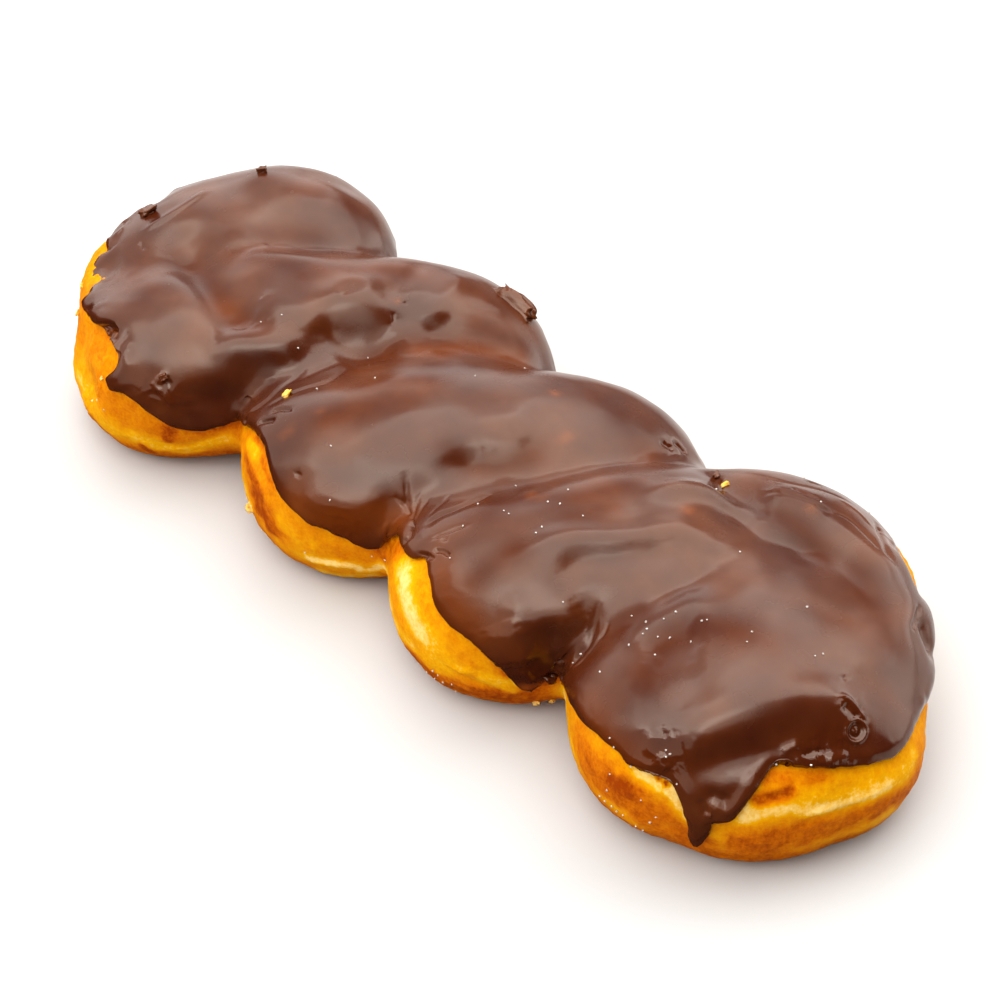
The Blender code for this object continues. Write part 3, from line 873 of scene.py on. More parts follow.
# Painted reflection: where the icing's sheen is painted down, so that more of its own brown shows. These
# are painted gaps in the reflection, where the coat should mirror the dim room between the lights.
PAINTED_SHEEN_GAP_MARKS = (
    Mark(((150, 238), (203, 279), (225, 308), (247, 326), (280, 337)), 3.6, 0.75, Way.ENDS),
    Mark(((215, 250), (250, 256), (290, 264), (322, 285)), 4.6, 0.7, Way.ENDS),
    Mark(((120, 262), (140, 285), (165, 300)), 4.6, 0.6, Way.ENDS),
    Mark(((205, 222), (245, 232), (300, 236), (345, 245)), 3.6, 0.5, Way.ENDS),
    Mark(((325, 392), (370, 362), (430, 346), (480, 350), (535, 362)), 3.4, 0.9, Way.ENDS),
    Mark(((295, 425), (350, 412), (400, 398), (440, 400)), 5.0, 0.7, Way.ENDS),
    Mark(((430, 430), (455, 455), (480, 466), (520, 460), (560, 447)), 3.0, 0.6, Way.ENDS),
    Mark(((500, 372), (560, 384), (610, 412), (645, 450), (665, 478)), 4.6, 0.45, Way.ENDS),
    Mark(((300, 520), (340, 522), (395, 524)), 3.6, 0.6),
    Mark(((450, 540), (480, 515), (520, 500), (580, 496), (640, 482), (680, 484)), 3.8, 0.85, Way.ENDS),
    Mark(((436, 565), (447, 598), (470, 625), (492, 640)), 4.0, 0.85, Way.ENDS),
    Mark(((612, 700), (640, 700), (652, 670), (668, 642), (710, 628), (765, 640), (800, 650)),
         4.4, 0.8, Way.ENDS),
    Mark(((600, 640), (625, 625), (660, 605)), 3.4, 0.6, Way.ENDS),
    Mark(((330, 190), (362, 215), (380, 240)), 5.0, 0.6, Way.ENDS),
    Mark(((398, 262), (440, 272), (480, 292), (520, 322)), 3.6, 0.6, Way.ENDS),
    Mark(((835, 545), (862, 580), (882, 625), (890, 680)), 4.4, 0.7, Way.ENDS),
    Mark(((735, 478), (790, 490), (840, 512), (872, 545)), 4.4, 0.6, Way.ENDS),
    Mark(((590, 705), (608, 735), (640, 760)), 3.0, 0.6, Way.ENDS),
    Mark(((285, 262), (320, 268), (365, 270), (410, 272), (440, 276)), 4.6, 0.85, Way.ENDS),
    Mark(((455, 318), (485, 328), (515, 342), (540, 362)), 4.6, 0.75, Way.ENDS),
    Mark(((335, 392), (375, 384), (415, 380), (460, 384)), 3.6, 0.85, Way.ENDS),
    Mark(((550, 524), (590, 512), (635, 504)), 3.4, 0.55, Way.ENDS),
    Mark(((745, 512), (785, 520), (815, 545), (840, 580)), 3.6, 0.75, Way.ENDS),
    Mark(((458, 608), (476, 580), (502, 558), (540, 542)), 3.2, 0.75, Way.ENDS),
    Mark(((275, 188), (305, 190), (335, 198)), 4.0, 0.45, Way.ENDS),
)

# How pale the crust is, from 0 for the deepest brown to 1 for cream; one dark mark on the near end paints
# the shade below the icing's edge. Each mark covers those before it.
TONE_MARKS = (
    Mark(((80, 330), (80, 300), (92, 255), (112, 232)), 3.5, 0.36),
    Mark(((100, 345), (108, 400), (150, 425), (200, 433), (240, 427)), 4.5, 0.36),
    Mark(((90, 395), (98, 415), (111, 428)), 3.0, 0.68),
    Mark(((134, 436), (160, 447), (187, 451), (206, 445), (226, 438)), 1.6, 0.74),
    Mark(((200, 427), (225, 424), (242, 423)), 1.8, 0.2),
    Mark(((168, 430), (169, 438)), 1.8, 0.05),
    Mark(((142, 446), (152, 452)), 1.0, 0.1),
    Mark(((230, 455), (243, 485), (262, 510), (280, 527)), 5.0, 0.06),
    Mark(((252, 455), (262, 478), (270, 500)), 1.5, 0.42),
    Mark(((249, 444), (257, 453)), 1.4, 0.72),
    Mark(((283, 520), (296, 538), (315, 550)), 3.0, 0.58),
    Mark(((330, 550), (355, 555), (372, 553)), 3.0, 0.42),
    Mark(((385, 552), (402, 549)), 2.5, 0.22),
    Mark(((325, 572), (347, 576), (370, 575)), 2.2, 0.75),
    Mark(((309, 559), (322, 561), (335, 563), (350, 565), (365, 570), (384, 568)), 0.9, 0.95),
    Mark(((425, 575), (438, 612), (465, 640), (495, 655)), 3.5, 0.5),
    Mark(((502, 658), (508, 672)), 2.0, 0.2),
    Mark(((403, 572), (407, 600), (413, 620), (424, 636), (432, 647)), 3.4, 0.8),
    Mark(((404, 580), (407, 602), (413, 622), (421, 634)), 1.8, 0.95),
    Mark(((398, 635), (418, 662), (448, 684), (485, 694), (530, 698)), 3.0, 0.12),
    Mark(((440, 655), (458, 668), (471, 670), (492, 680), (513, 690)), 1.0, 0.68),
    Mark(((538, 692), (552, 682), (557, 670)), 1.8, 0.2),
    Mark(((598, 745), (612, 760), (625, 768)), 2.6, 0.6),
    Mark(((585, 760), (610, 785), (650, 815), (690, 838)), 5.0, 0.2),
    Mark(((612, 783), (628, 790)), 2.2, 0.04),
    Mark(((640, 771), (655, 780), (672, 791), (690, 806)), 1.8, 0.9),
    Mark(((683, 803), (692, 815)), 2.2, 0.9),
    Mark(((745, 845), (790, 838), (830, 826), (870, 811), (905, 790), (925, 762)), 4.0, 0.18),
    Mark(((768, 785), (800, 785), (840, 783), (880, 773), (905, 757)), 2.6, 0.58),
    Mark(((766, 777), (795, 778), (820, 777)), 1.4, 0.3),
    Mark(((743, 812), (785, 806), (824, 804), (850, 800), (880, 786), (908, 771)), 2.6, 0.72),
    Mark(((744, 820), (758, 814), (785, 810), (803, 812), (824, 809), (846, 803), (866, 795), (888, 785)),
         1.1, 0.9),
    Mark(((745, 803), (752, 812), (760, 815)), 1.4, 0.95),
    # Painted shade: a dark patch on the near end's side, below the icing's edge.
    Mark(((758, 800), (772, 797), (788, 793)), 1.3, 0.08),
    Mark(((910, 768), (913, 752)), 1.2, 0.8),
    Mark(((924, 755), (926, 735)), 1.6, 0.6),
    Mark(((912, 560), (916, 572), (922, 640)), 3.0, 0.6),
    Mark(((659, 777),), 0.5, 0.0),
    Mark(((666, 783),), 0.5, 0.0),
)

# The crinkled line round the dough's side where it stood out of the frying fat.
DOUGH_MARKS = (
    Mark(((309, 561), (322, 563), (335, 565), (350, 567), (365, 572), (384, 570)), 0.7, 0.35, Way.ENDS),
    Mark(((440, 655), (458, 670), (471, 672), (492, 682), (513, 692)), 0.7, 0.4, Way.ENDS),
    Mark(((458, 674), (480, 684), (505, 694)), 0.9, -0.4, Way.ENDS),
    Mark(((640, 773), (655, 783), (672, 798), (690, 820)), 0.6, 0.3, Way.ENDS),
    Mark(((789, 822), (810, 815), (827, 810), (852, 802), (880, 789), (898, 779)), 0.7, 0.4, Way.ENDS),
    Mark(((789, 827), (827, 815), (852, 807), (880, 794)), 0.9, -0.3, Way.ENDS),
    Mark(((762, 799), (775, 797), (787, 793)), 0.9, -0.6, Way.ENDS),
    Mark(((137, 437), (160, 444), (187, 446), (206, 441), (226, 436)), 0.9, -0.3, Way.ENDS),
)


@dataclass(frozen=True)
class ChocolateIcing:
    """Set chocolate icing, poured warm and left to skin over: a satin brown skin with a fine grain."""

    dark: str = "#421a0a"
    body: str = "#4c220d"
    warm: str = "#592c13"
    thin: str = "#8c4812"
    patch_size: float = 14 * MM
    grain_size: float = 0.45 * MM
    ripple_size: float = 2.2 * MM
    grain_depth: float = 0.012 * MM
    ripple_depth: float = 0.015 * MM
    smear_size: float = 9 * MM
    smoothest: float = 0.21
    roughest: float = 0.29
    wet_smoothing: float = 0.14
    shine: float = 0.45
    # How much of the sheen the painted reflection gaps take away.
    painted_sheen_cut: float = 0.38
    sheen: str = "#fdf8ec"
    ior: float = 1.58

    def build(self) -> bpy.types.Material:
        """Makes the material.

        Returns:
            The material.
        """
        material, tree, shader = new_material("chocolate_icing_skin")
        place = add_node(tree, "ShaderNodeTexCoord").outputs["Object"]
        patches = add_node(
            tree, "ShaderNodeTexNoise", {"Vector": place, "Scale": 1 / self.patch_size, "Detail": 3.0}
        )
        ramp = add_node(
            tree, "ShaderNodeValToRGB", {"Fac": patches.outputs["Fac"]},
            {0.3: self.dark, 0.5: self.body, 0.7: self.warm},
        )
        thin = add_node(tree, "ShaderNodeAttribute", attribute_name="thin")
        colour = add_node(
            tree, "ShaderNodeMix",
            {"Factor": thin.outputs["Fac"], "A": ramp.outputs["Color"], "B": linear(self.thin)},
            data_type="RGBA",
        )
        tree.links.new(colour.outputs["Result"], shader.inputs["Base Color"])
        gloss = add_node(tree, "ShaderNodeAttribute", attribute_name="gloss")
        smears = add_node(
            tree, "ShaderNodeTexNoise", {"Vector": place, "Scale": 1 / self.smear_size, "Detail": 4.0}
        )
        uneven = add_node(
            tree, "ShaderNodeMapRange",
            {"Value": smears.outputs["Fac"], "From Min": 0.3, "From Max": 0.7,
             "To Min": self.smoothest, "To Max": self.roughest},
        )
        rough = add_node(
            tree, "ShaderNodeMath",
            {0: gloss.outputs["Fac"], 1: -self.wet_smoothing, 2: uneven.outputs["Result"]},
            operation="MULTIPLY_ADD", use_clamp=True,
        )
        tree.links.new(rough.outputs[0], shader.inputs["Roughness"])
        # Painted reflection: the stored value cuts the sheen, to paint where the coat mirrors the dim gaps
        # between the lights.
        painted_sheen_gap = add_node(tree, "ShaderNodeAttribute", attribute_name="painted_sheen_gap")
        level = add_node(
            tree, "ShaderNodeMath", {0: painted_sheen_gap.outputs["Fac"], 1: -self.painted_sheen_cut, 2: self.shine},
            operation="MULTIPLY_ADD",
        )
        tree.links.new(level.outputs[0], shader.inputs["Specular IOR Level"])
        ripples = add_node(
            tree, "ShaderNodeTexNoise", {"Vector": place, "Scale": 1 / self.ripple_size, "Detail": 2.0}
        )
        swell = add_node(
            tree, "ShaderNodeBump",
            {"Height": ripples.outputs["Fac"], "Distance": self.ripple_depth, "Strength": 1.0},
        )
        grain = add_node(
            tree, "ShaderNodeTexNoise", {"Vector": place, "Scale": 1 / self.grain_size, "Detail": 2.0}
        )
        bump = add_node(
            tree, "ShaderNodeBump",
            {"Height": grain.outputs["Fac"], "Distance": self.grain_depth, "Strength": 1.0,
             "Normal": swell.outputs["Normal"]},
        )
        tree.links.new(bump.outputs["Normal"], shader.inputs["Normal"])
        shader.inputs["Specular Tint"].default_value = linear(self.sheen)
        shader.inputs["IOR"].default_value = self.ior
        return material


@dataclass(frozen=True)
class FriedCrust:
    """Fried yeast dough: a thin dry crust, brown where it lay in the oil and pale along its middle."""

    deep: str = "#944000"
    fried: str = "#bf6900"
    golden: str = "#d08600"
    yellow: str = "#dba000"
    cream: str = "#e6c378"
    mottle_size: float = 2.6 * MM
    fleck_size: float = 0.75 * MM
    streak_size: float = 1.5 * MM
    streak_stretch: float = 0.3
    mottle_share: float = 0.34
    fleck_share: float = 0.5
    streak_share: float = 0.3
    grain_depth: float = 0.12 * MM
    roughness: float = 0.6
    ior: float = 1.45
    shine: float = 0.06
    glow: float = 0.1
    glow_depth: float = 2 * MM
    glow_reach: tuple[float, float, float] = (1.0, 0.5, 0.15)

    def build(self) -> bpy.types.Material:
        """Makes the material.

        Returns:
            The material.
        """
        material, tree, shader = new_material("fried_dough_crust")
        place = add_node(tree, "ShaderNodeTexCoord").outputs["Object"]
        tone = add_node(tree, "ShaderNodeAttribute", attribute_name="tone")
        mottle = add_node(
            tree, "ShaderNodeTexNoise", {"Vector": place, "Scale": 1 / self.mottle_size, "Detail": 5.0}
        )
        flecks = add_node(
            tree, "ShaderNodeTexNoise",
            {"Vector": place, "Scale": 1 / self.fleck_size, "Detail": 4.0, "Roughness": 0.65},
        )
        upright = add_node(
            tree, "ShaderNodeMapping", {"Vector": place, "Scale": (1, 1, self.streak_stretch)}
        )
        streaks = add_node(
            tree, "ShaderNodeTexNoise",
            {"Vector": upright.outputs[0], "Scale": 1 / self.streak_size, "Detail": 3.0, "Distortion": 0.6},
        )
        total = tone.outputs["Fac"]
        patterns = ((mottle, self.mottle_share), (flecks, self.fleck_share), (streaks, self.streak_share))
        for pattern, share in patterns:
            total = add_node(
                tree, "ShaderNodeMath", {0: pattern.outputs["Fac"], 1: share, 2: total},
                operation="MULTIPLY_ADD",
            ).outputs[0]
        middle = sum(share for _, share in patterns) / 2
        centred = add_node(tree, "ShaderNodeMath", {0: total, 1: middle}, operation="SUBTRACT")
        ramp = add_node(
            tree, "ShaderNodeValToRGB", {"Fac": centred.outputs[0]},
            {0.02: self.deep, 0.25: self.fried, 0.5: self.golden, 0.75: self.yellow, 0.98: self.cream},
        )
        tree.links.new(ramp.outputs["Color"], shader.inputs["Base Color"])
        bump = add_node(
            tree, "ShaderNodeBump",
            {"Height": flecks.outputs["Fac"], "Distance": self.grain_depth, "Strength": 1.0},
        )
        tree.links.new(bump.outputs["Normal"], shader.inputs["Normal"])
        shader.inputs["Roughness"].default_value = self.roughness
        shader.inputs["IOR"].default_value = self.ior
        shader.inputs["Specular IOR Level"].default_value = self.shine
        shader.inputs["Subsurface Weight"].default_value = self.glow
        shader.inputs["Subsurface Radius"].default_value = self.glow_reach
        shader.inputs["Subsurface Scale"].default_value = self.glow_depth
        return material


@dataclass(frozen=True)
class CoarseSugar:
    """White sugar in coarse crystals: clear sharp-edged grains that glint white."""

    clear: str = "#c9bcae"
    frosted: str = "#f4f0ea"
    frost_size: float = 0.3 * MM
    roughness: float = 0.25
    ior: float = 1.54
    clearness: float = 0.3

    def build(self) -> bpy.types.Material:
        """Makes the material.

        Returns:
            The material.
        """
        material, tree, shader = new_material("coarse_white_sugar")
        place = add_node(tree, "ShaderNodeTexCoord").outputs["Object"]
        frost = add_node(
            tree, "ShaderNodeTexNoise", {"Vector": place, "Scale": 1 / self.frost_size, "Detail": 2.0}
        )
        ramp = add_node(
            tree, "ShaderNodeValToRGB", {"Fac": frost.outputs["Fac"]},
            {0.35: self.clear, 0.65: self.frosted},
        )
        tree.links.new(ramp.outputs["Color"], shader.inputs["Base Color"])
        shader.inputs["Roughness"].default_value = self.roughness
        shader.inputs["IOR"].default_value = self.ior
        shader.inputs["Transmission Weight"].default_value = self.clearness
        return material


@dataclass
class FriedDough:
    """The two fused ropes of dough, with the fried skin's unevenness and its pale line.

    A pair of heights is where a change up the side starts and where it is complete. A tone is how much
    paler a zone makes the crust.
    """

    sight: PhotoCamera
    crust: bpy.types.Material
    cuts: int = 4
    smooth_rounds: int = 14
    foot: tuple[float, float] = (0.2 * MM, 2 * MM)
    bare_height: float = 31 * MM
    covered: tuple[float, float] = (29 * MM, 34 * MM)
    sink: float = 0.9 * MM
    skin_start: tuple[float, float] = (0.3 * MM, 2 * MM)
    skin_end: tuple[float, float] = (26 * MM, 31 * MM)
    lump_size: float = 7 * MM
    lump_height: float = 0.25 * MM
    crag_size: float = 2 * MM
    crag_height: float = 0.19 * MM
    out_of_fat: tuple[float, float] = (6 * MM, 9.5 * MM)
    line_height: float = 12.5 * MM
    line_width: float = 2.6 * MM
    line_fullness: float = 0.8
    wander: float = 2.5 * MM
    wander_length: float = 22 * MM
    wander_stretch: float = 0.3
    patch_size: float = 9 * MM
    fray_size: float = 2.4 * MM
    fray_share: float = 0.6
    mark_fullness: float = 1.5
    base_tone: float = 0.2
    side_tone: float = 0.3
    line_tone: float = 0.38
    patch_tone: float = 0.06

    def build(self) -> bpy.types.Object:
        """Makes the dough and dresses it.

        Returns:
            The dough.
        """
        dough = copy_of_node("dough_twist", "fried_dough")
        mesh = dough.data
        heights = np.array([face.center.z for face in mesh.polygons])
        subdivide_faces(dough, (heights < self.bare_height) & (heights > 0), self.cuts)
        rows = vertex_rows(mesh)
        relax(mesh, self.smooth_rounds, smooth_step(rows[:, 2], *self.foot))
        press_marks(mesh, BARE_MARKS, self.sight, surface_tree(mesh))
        press_marks(mesh, UNCOVERED_MARKS, self.sight, surface_tree(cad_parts["chocolate_icing"].data))
        self.smooth_tree = surface_tree(mesh)
        self.sink_under_coat(mesh)
        tree = surface_tree(mesh)
        press_marks(mesh, DOUGH_MARKS, self.sight, tree)
        self.roughen(mesh)
        keep_in_box(mesh)
        self.brown(mesh, tree)
        mesh.shade_smooth()
        mesh.materials.append(self.crust)
        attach(dough, "root")
        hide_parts("dough_twist")
        return dough

    def sink_under_coat(self, mesh: bpy.types.Mesh) -> None:
        """Gives the dough the coat's shoulders and troughs, and a little room below the coat's top.

        Args:
            mesh: the dough.
        """
        rows, normals = vertex_rows(mesh), normal_rows(mesh)
        solid = surface_tree(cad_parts["chocolate_icing"].data)
        above = rows + COAT_DEPTH * normals
        move = -self.sink * smooth_step(rows[:, 2], *self.covered)
        for mark in BROAD_MARKS:
            near, weight = mark.weigh(above, self.sight, solid)
            move[near] += mark.amount * MM * weight
        place_vertices(mesh, rows + normals * move[:, None])

    def roughen(self, mesh: bpy.types.Mesh) -> None:
        """Gives the skin its low lumps and fine crags.

        Args:
            mesh: the dough.
        """
        rows, normals = vertex_rows(mesh), normal_rows(mesh)
        side = smooth_step(rows[:, 2], *self.skin_start) * (1 - smooth_step(rows[:, 2], *self.skin_end))
        lumps = self.lump_height * field_noise(rows, self.lump_size)
        crags = self.crag_height * field_noise(rows, self.crag_size, 3)
        moved = rows + normals * (side * (lumps + crags))[:, None]
        moved[:, 2] = np.maximum(moved[:, 2], 0)
        place_vertices(mesh, moved)

    def brown(self, mesh: bpy.types.Mesh, tree: BVHTree) -> None:
        """Stores how pale the crust is: fried below, a pale line round it, golden above, and one patch of
        painted shade.

        Args:
            mesh: the dough.
            tree: the dough's surface before it was roughened.
        """
        rows = vertex_rows(mesh)
        flat = rows * np.array([1, 1, self.wander_stretch])
        height = rows[:, 2] + self.wander * field_noise(flat, self.wander_length)
        side = smooth_step(height, *self.out_of_fat)
        line = np.exp(-(((height - self.line_height) / self.line_width) ** 2))
        patch = field_noise(rows, self.patch_size, 2, 5.0)
        tone = self.base_tone + self.side_tone * side + self.patch_tone * patch
        tone += self.line_tone * line * np.clip(self.line_fullness + patch, 0, 1)
        ragged = 1 + self.fray_share * field_noise(rows, self.fray_size, 3, 9.0)
        for mark in TONE_MARKS:
            near, weight = mark.weigh(rows, self.sight, tree)
            share = np.clip(self.mark_fullness * weight * ragged[near], 0, 1)
            tone[near] += share * (mark.amount - tone[near])
        store_values(mesh, "tone", tone)


@dataclass
class CoatEdge:
    """The coat's edge: where it runs on the mesh, and how it is slid to where the photograph has it.

    Facing is how squarely a hidden face looks at the dough, from 0 to 1. The spacing is in pixels. The
    fit's points are how many of the edge's vertices a place beside it moves with.
    """

    sight: PhotoCamera
    dough: BVHTree
    sheet_gap: float = 0.45 * MM
    facing: float = 0.7
    spacing: float = 2.0
    lip_depth: float = 1.0 * MM
    end_reach: float = 95 * MM
    far_end: float = -86 * MM
    longest_shift: float = 9 * MM
    least_shift: float = 0.02 * MM
    fade_reach: float = 10 * MM
    blur_reach: float = 2 * MM
    blur_width: float = 0.9 * MM
    fit_reach: float = 10 * MM
    fit_points: int = 6
    fit_evenness: float = 0.3 * MM

    def mark_inner_faces(self, mesh: bpy.types.Mesh) -> np.ndarray:
        """Notes on the mesh which faces lie on the dough, on the sheet's hidden side.

        Args:
            mesh: the coat.

        Returns:
            Whether each face does.
        """
        solid = surface_tree(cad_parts["dough_twist"].data)
        inner = np.zeros(len(mesh.polygons), dtype=bool)
        for face in mesh.polygons:
            hit, _, _, gap = solid.find_nearest(face.center)
            faces_dough = (face.center - hit).dot(face.normal) < -self.facing * gap
            inner[face.index] = gap < self.sheet_gap and faces_dough
        layer = mesh.attributes.new("inner", "BOOLEAN", "FACE")
        layer.data.foreach_set("value", inner)
        return inner

    def inner_faces(self, mesh: bpy.types.Mesh) -> np.ndarray:
        """Reads which faces are on the hidden side, as it was noted before the mesh was cut finer.

        Args:
            mesh: the coat.

        Returns:
            Whether each face is.
        """
        inner = np.zeros(len(mesh.polygons), dtype=bool)
        mesh.attributes["inner"].data.foreach_get("value", inner)
        return inner

    def find(self, mesh: bpy.types.Mesh) -> None:
        """Works out which vertices are hidden, which are on the rim, and how far each is from it.

        Args:
            mesh: the coat.
        """
        inner = self.inner_faces(mesh)
        corners = np.empty(len(mesh.loops), dtype=np.int32)
        mesh.loops.foreach_get("vertex_index", corners)
        corners = corners.reshape(-1, 3)
        self.hidden = np.zeros(len(mesh.vertices), dtype=bool)
        shown = np.zeros(len(mesh.vertices), dtype=bool)
        self.hidden[corners[inner].ravel()] = True
        shown[corners[~inner].ravel()] = True
        self.rim = np.nonzero(self.hidden & shown)[0]
        rows = vertex_rows(mesh)
        self.tree = KDTree(len(self.rim))
        for k, index in enumerate(self.rim):
            self.tree.insert(rows[index], k)
        self.tree.balance()
        self.gap = np.array([self.tree.find(row)[2] for row in rows.tolist()])

    def walk(self, mesh: bpy.types.Mesh) -> np.ndarray:
        """Walks along the rim's longest loop.

        Args:
            mesh: the coat.

        Returns:
            The numbers of its vertices, in order.
        """
        inner = self.inner_faces(mesh)
        sides = np.empty(len(mesh.loops), dtype=np.int32)
        mesh.loops.foreach_get("edge_index", sides)
        sides = sides.reshape(-1, 3)
        beside: dict[int, list[int]] = {}
        for k in np.intersect1d(sides[inner], sides[~inner]).tolist():
            a, b = mesh.edges[k].vertices
            beside.setdefault(a, []).append(b)
            beside.setdefault(b, []).append(a)
        loops, left = [], set(beside)
        while left:
            loops.append([min(left)])
            left.remove(loops[-1][0])
            while ahead := [vertex for vertex in beside[loops[-1][-1]] if vertex in left]:
                loops[-1].append(ahead[0])
                left.remove(ahead[0])
        return np.array(max(loops, key=len))

    def match(self, mesh: bpy.types.Mesh) -> None:
        """Finds the pixel on the photograph's edge that each vertex of the rim's front belongs at.

        Args:
            mesh: the coat.
        """
        rows, normals = vertex_rows(mesh), normal_rows(mesh)
        loop = self.walk(mesh)
        lips = self.sight.pixels(rows[loop] + self.lip_depth * normals[loop])
        outline = along(np.array(ICING_EDGE, dtype=float), self.spacing)
        along_twist = rows[loop, 0]
        to_start = np.linalg.norm(lips - outline[0], axis=1)
        to_end = np.linalg.norm(lips - outline[-1], axis=1)
        start = np.where(along_twist < -self.end_reach, to_start, np.inf).argmin()
        end = np.where(along_twist > self.end_reach, to_end, np.inf).argmin()
        order = np.roll(np.arange(len(loop)), -start)
        last = (end - start) % len(loop)
        front = order[:last + 1]
        if rows[loop[front], 1].mean() > 0:
            front = np.concatenate([order[:1], order[:last - 1:-1]])
        self.targets = dict(zip(loop[front].tolist(), pair_in_order(lips[front], outline)))

    def fit(self, mesh: bpy.types.Mesh) -> None:
        """Slides the edge along the dough towards the photograph's, and the skin beside it with it.

        Args:
            mesh: the coat.
        """
        rows, normals = vertex_rows(mesh), normal_rows(mesh)
        places = rows[self.rim]
        shifts = self.even_out(places, self.slides(surface_tree(mesh), places, normals[self.rim]))
        for index in np.nonzero(self.gap < self.fit_reach)[0]:
            found = self.tree.find_n(rows[index], self.fit_points)
            weights = np.array([1 / (gap + self.fit_evenness) ** 2 for _, _, gap in found])
            shift = weights @ shifts[[near for _, near, _ in found]] / weights.sum()
            shift *= 1 - smooth_step(self.gap[index], 0, self.fit_reach)
            if np.linalg.norm(shift) > self.least_shift:
                foot, up, _, _ = self.dough.find_nearest(rows[index])
                height = (Vector(rows[index]) - foot).dot(up)
                foot, up, _, _ = self.dough.find_nearest(rows[index] + shift)
                rows[index] = foot + up * height
        place_vertices(mesh, rows)
        self.find(mesh)

    def slides(self, skin: BVHTree, places: np.ndarray, normals: np.ndarray) -> np.ndarray:
        """Works out how far each of the edge's vertices has to slide.

        Args:
            skin: the coat's surface.
            places: where the edge's vertices are.
            normals: their normals.

        Returns:
            The slide of each one. Those with no pixel of their own follow the nearest one that has.
        """
        seen = self.sight.sees(skin, places)
        own = self.sight.pixels(places)
        lips = self.sight.pixels(places + self.lip_depth * normals)
        shifts = np.zeros_like(places)
        fitted = []
        for k, index in enumerate(self.rim.tolist()):
            if index not in self.targets or not (seen[k] or places[k, 0] < self.far_end):
                continue
            start = self.dough.find_nearest(places[k])[0]
            end = self.sight.cast(self.dough, own[k] + self.targets[index] - lips[k])
            if end and (end - start).length < self.longest_shift:
                shifts[k] = end - start
                fitted.append(k)
        settled = KDTree(len(fitted))
        for k in fitted:
            settled.insert(places[k], k)
        settled.balance()
        for k in set(range(len(places))) - set(fitted):
            _, nearest, gap = settled.find(places[k])
            shifts[k] = shifts[nearest] * (1 - smooth_step(gap, 0, self.fade_reach))
        return shifts

    def even_out(self, places: np.ndarray, shifts: np.ndarray) -> np.ndarray:
        """Blurs the slides along the edge, so that it stays smooth.

        Args:
            places: where the edge's vertices are.
            shifts: the slide of each one.

        Returns:
            The blurred slides.
        """
        smooth = np.zeros_like(shifts)
        for k, place in enumerate(places):
            found = self.tree.find_range(place, self.blur_reach)
            weights = np.array([math.exp(-((gap / self.blur_width) ** 2)) for _, _, gap in found])
            smooth[k] = weights @ shifts[[index for _, index, _ in found]] / weights.sum()
        return smooth


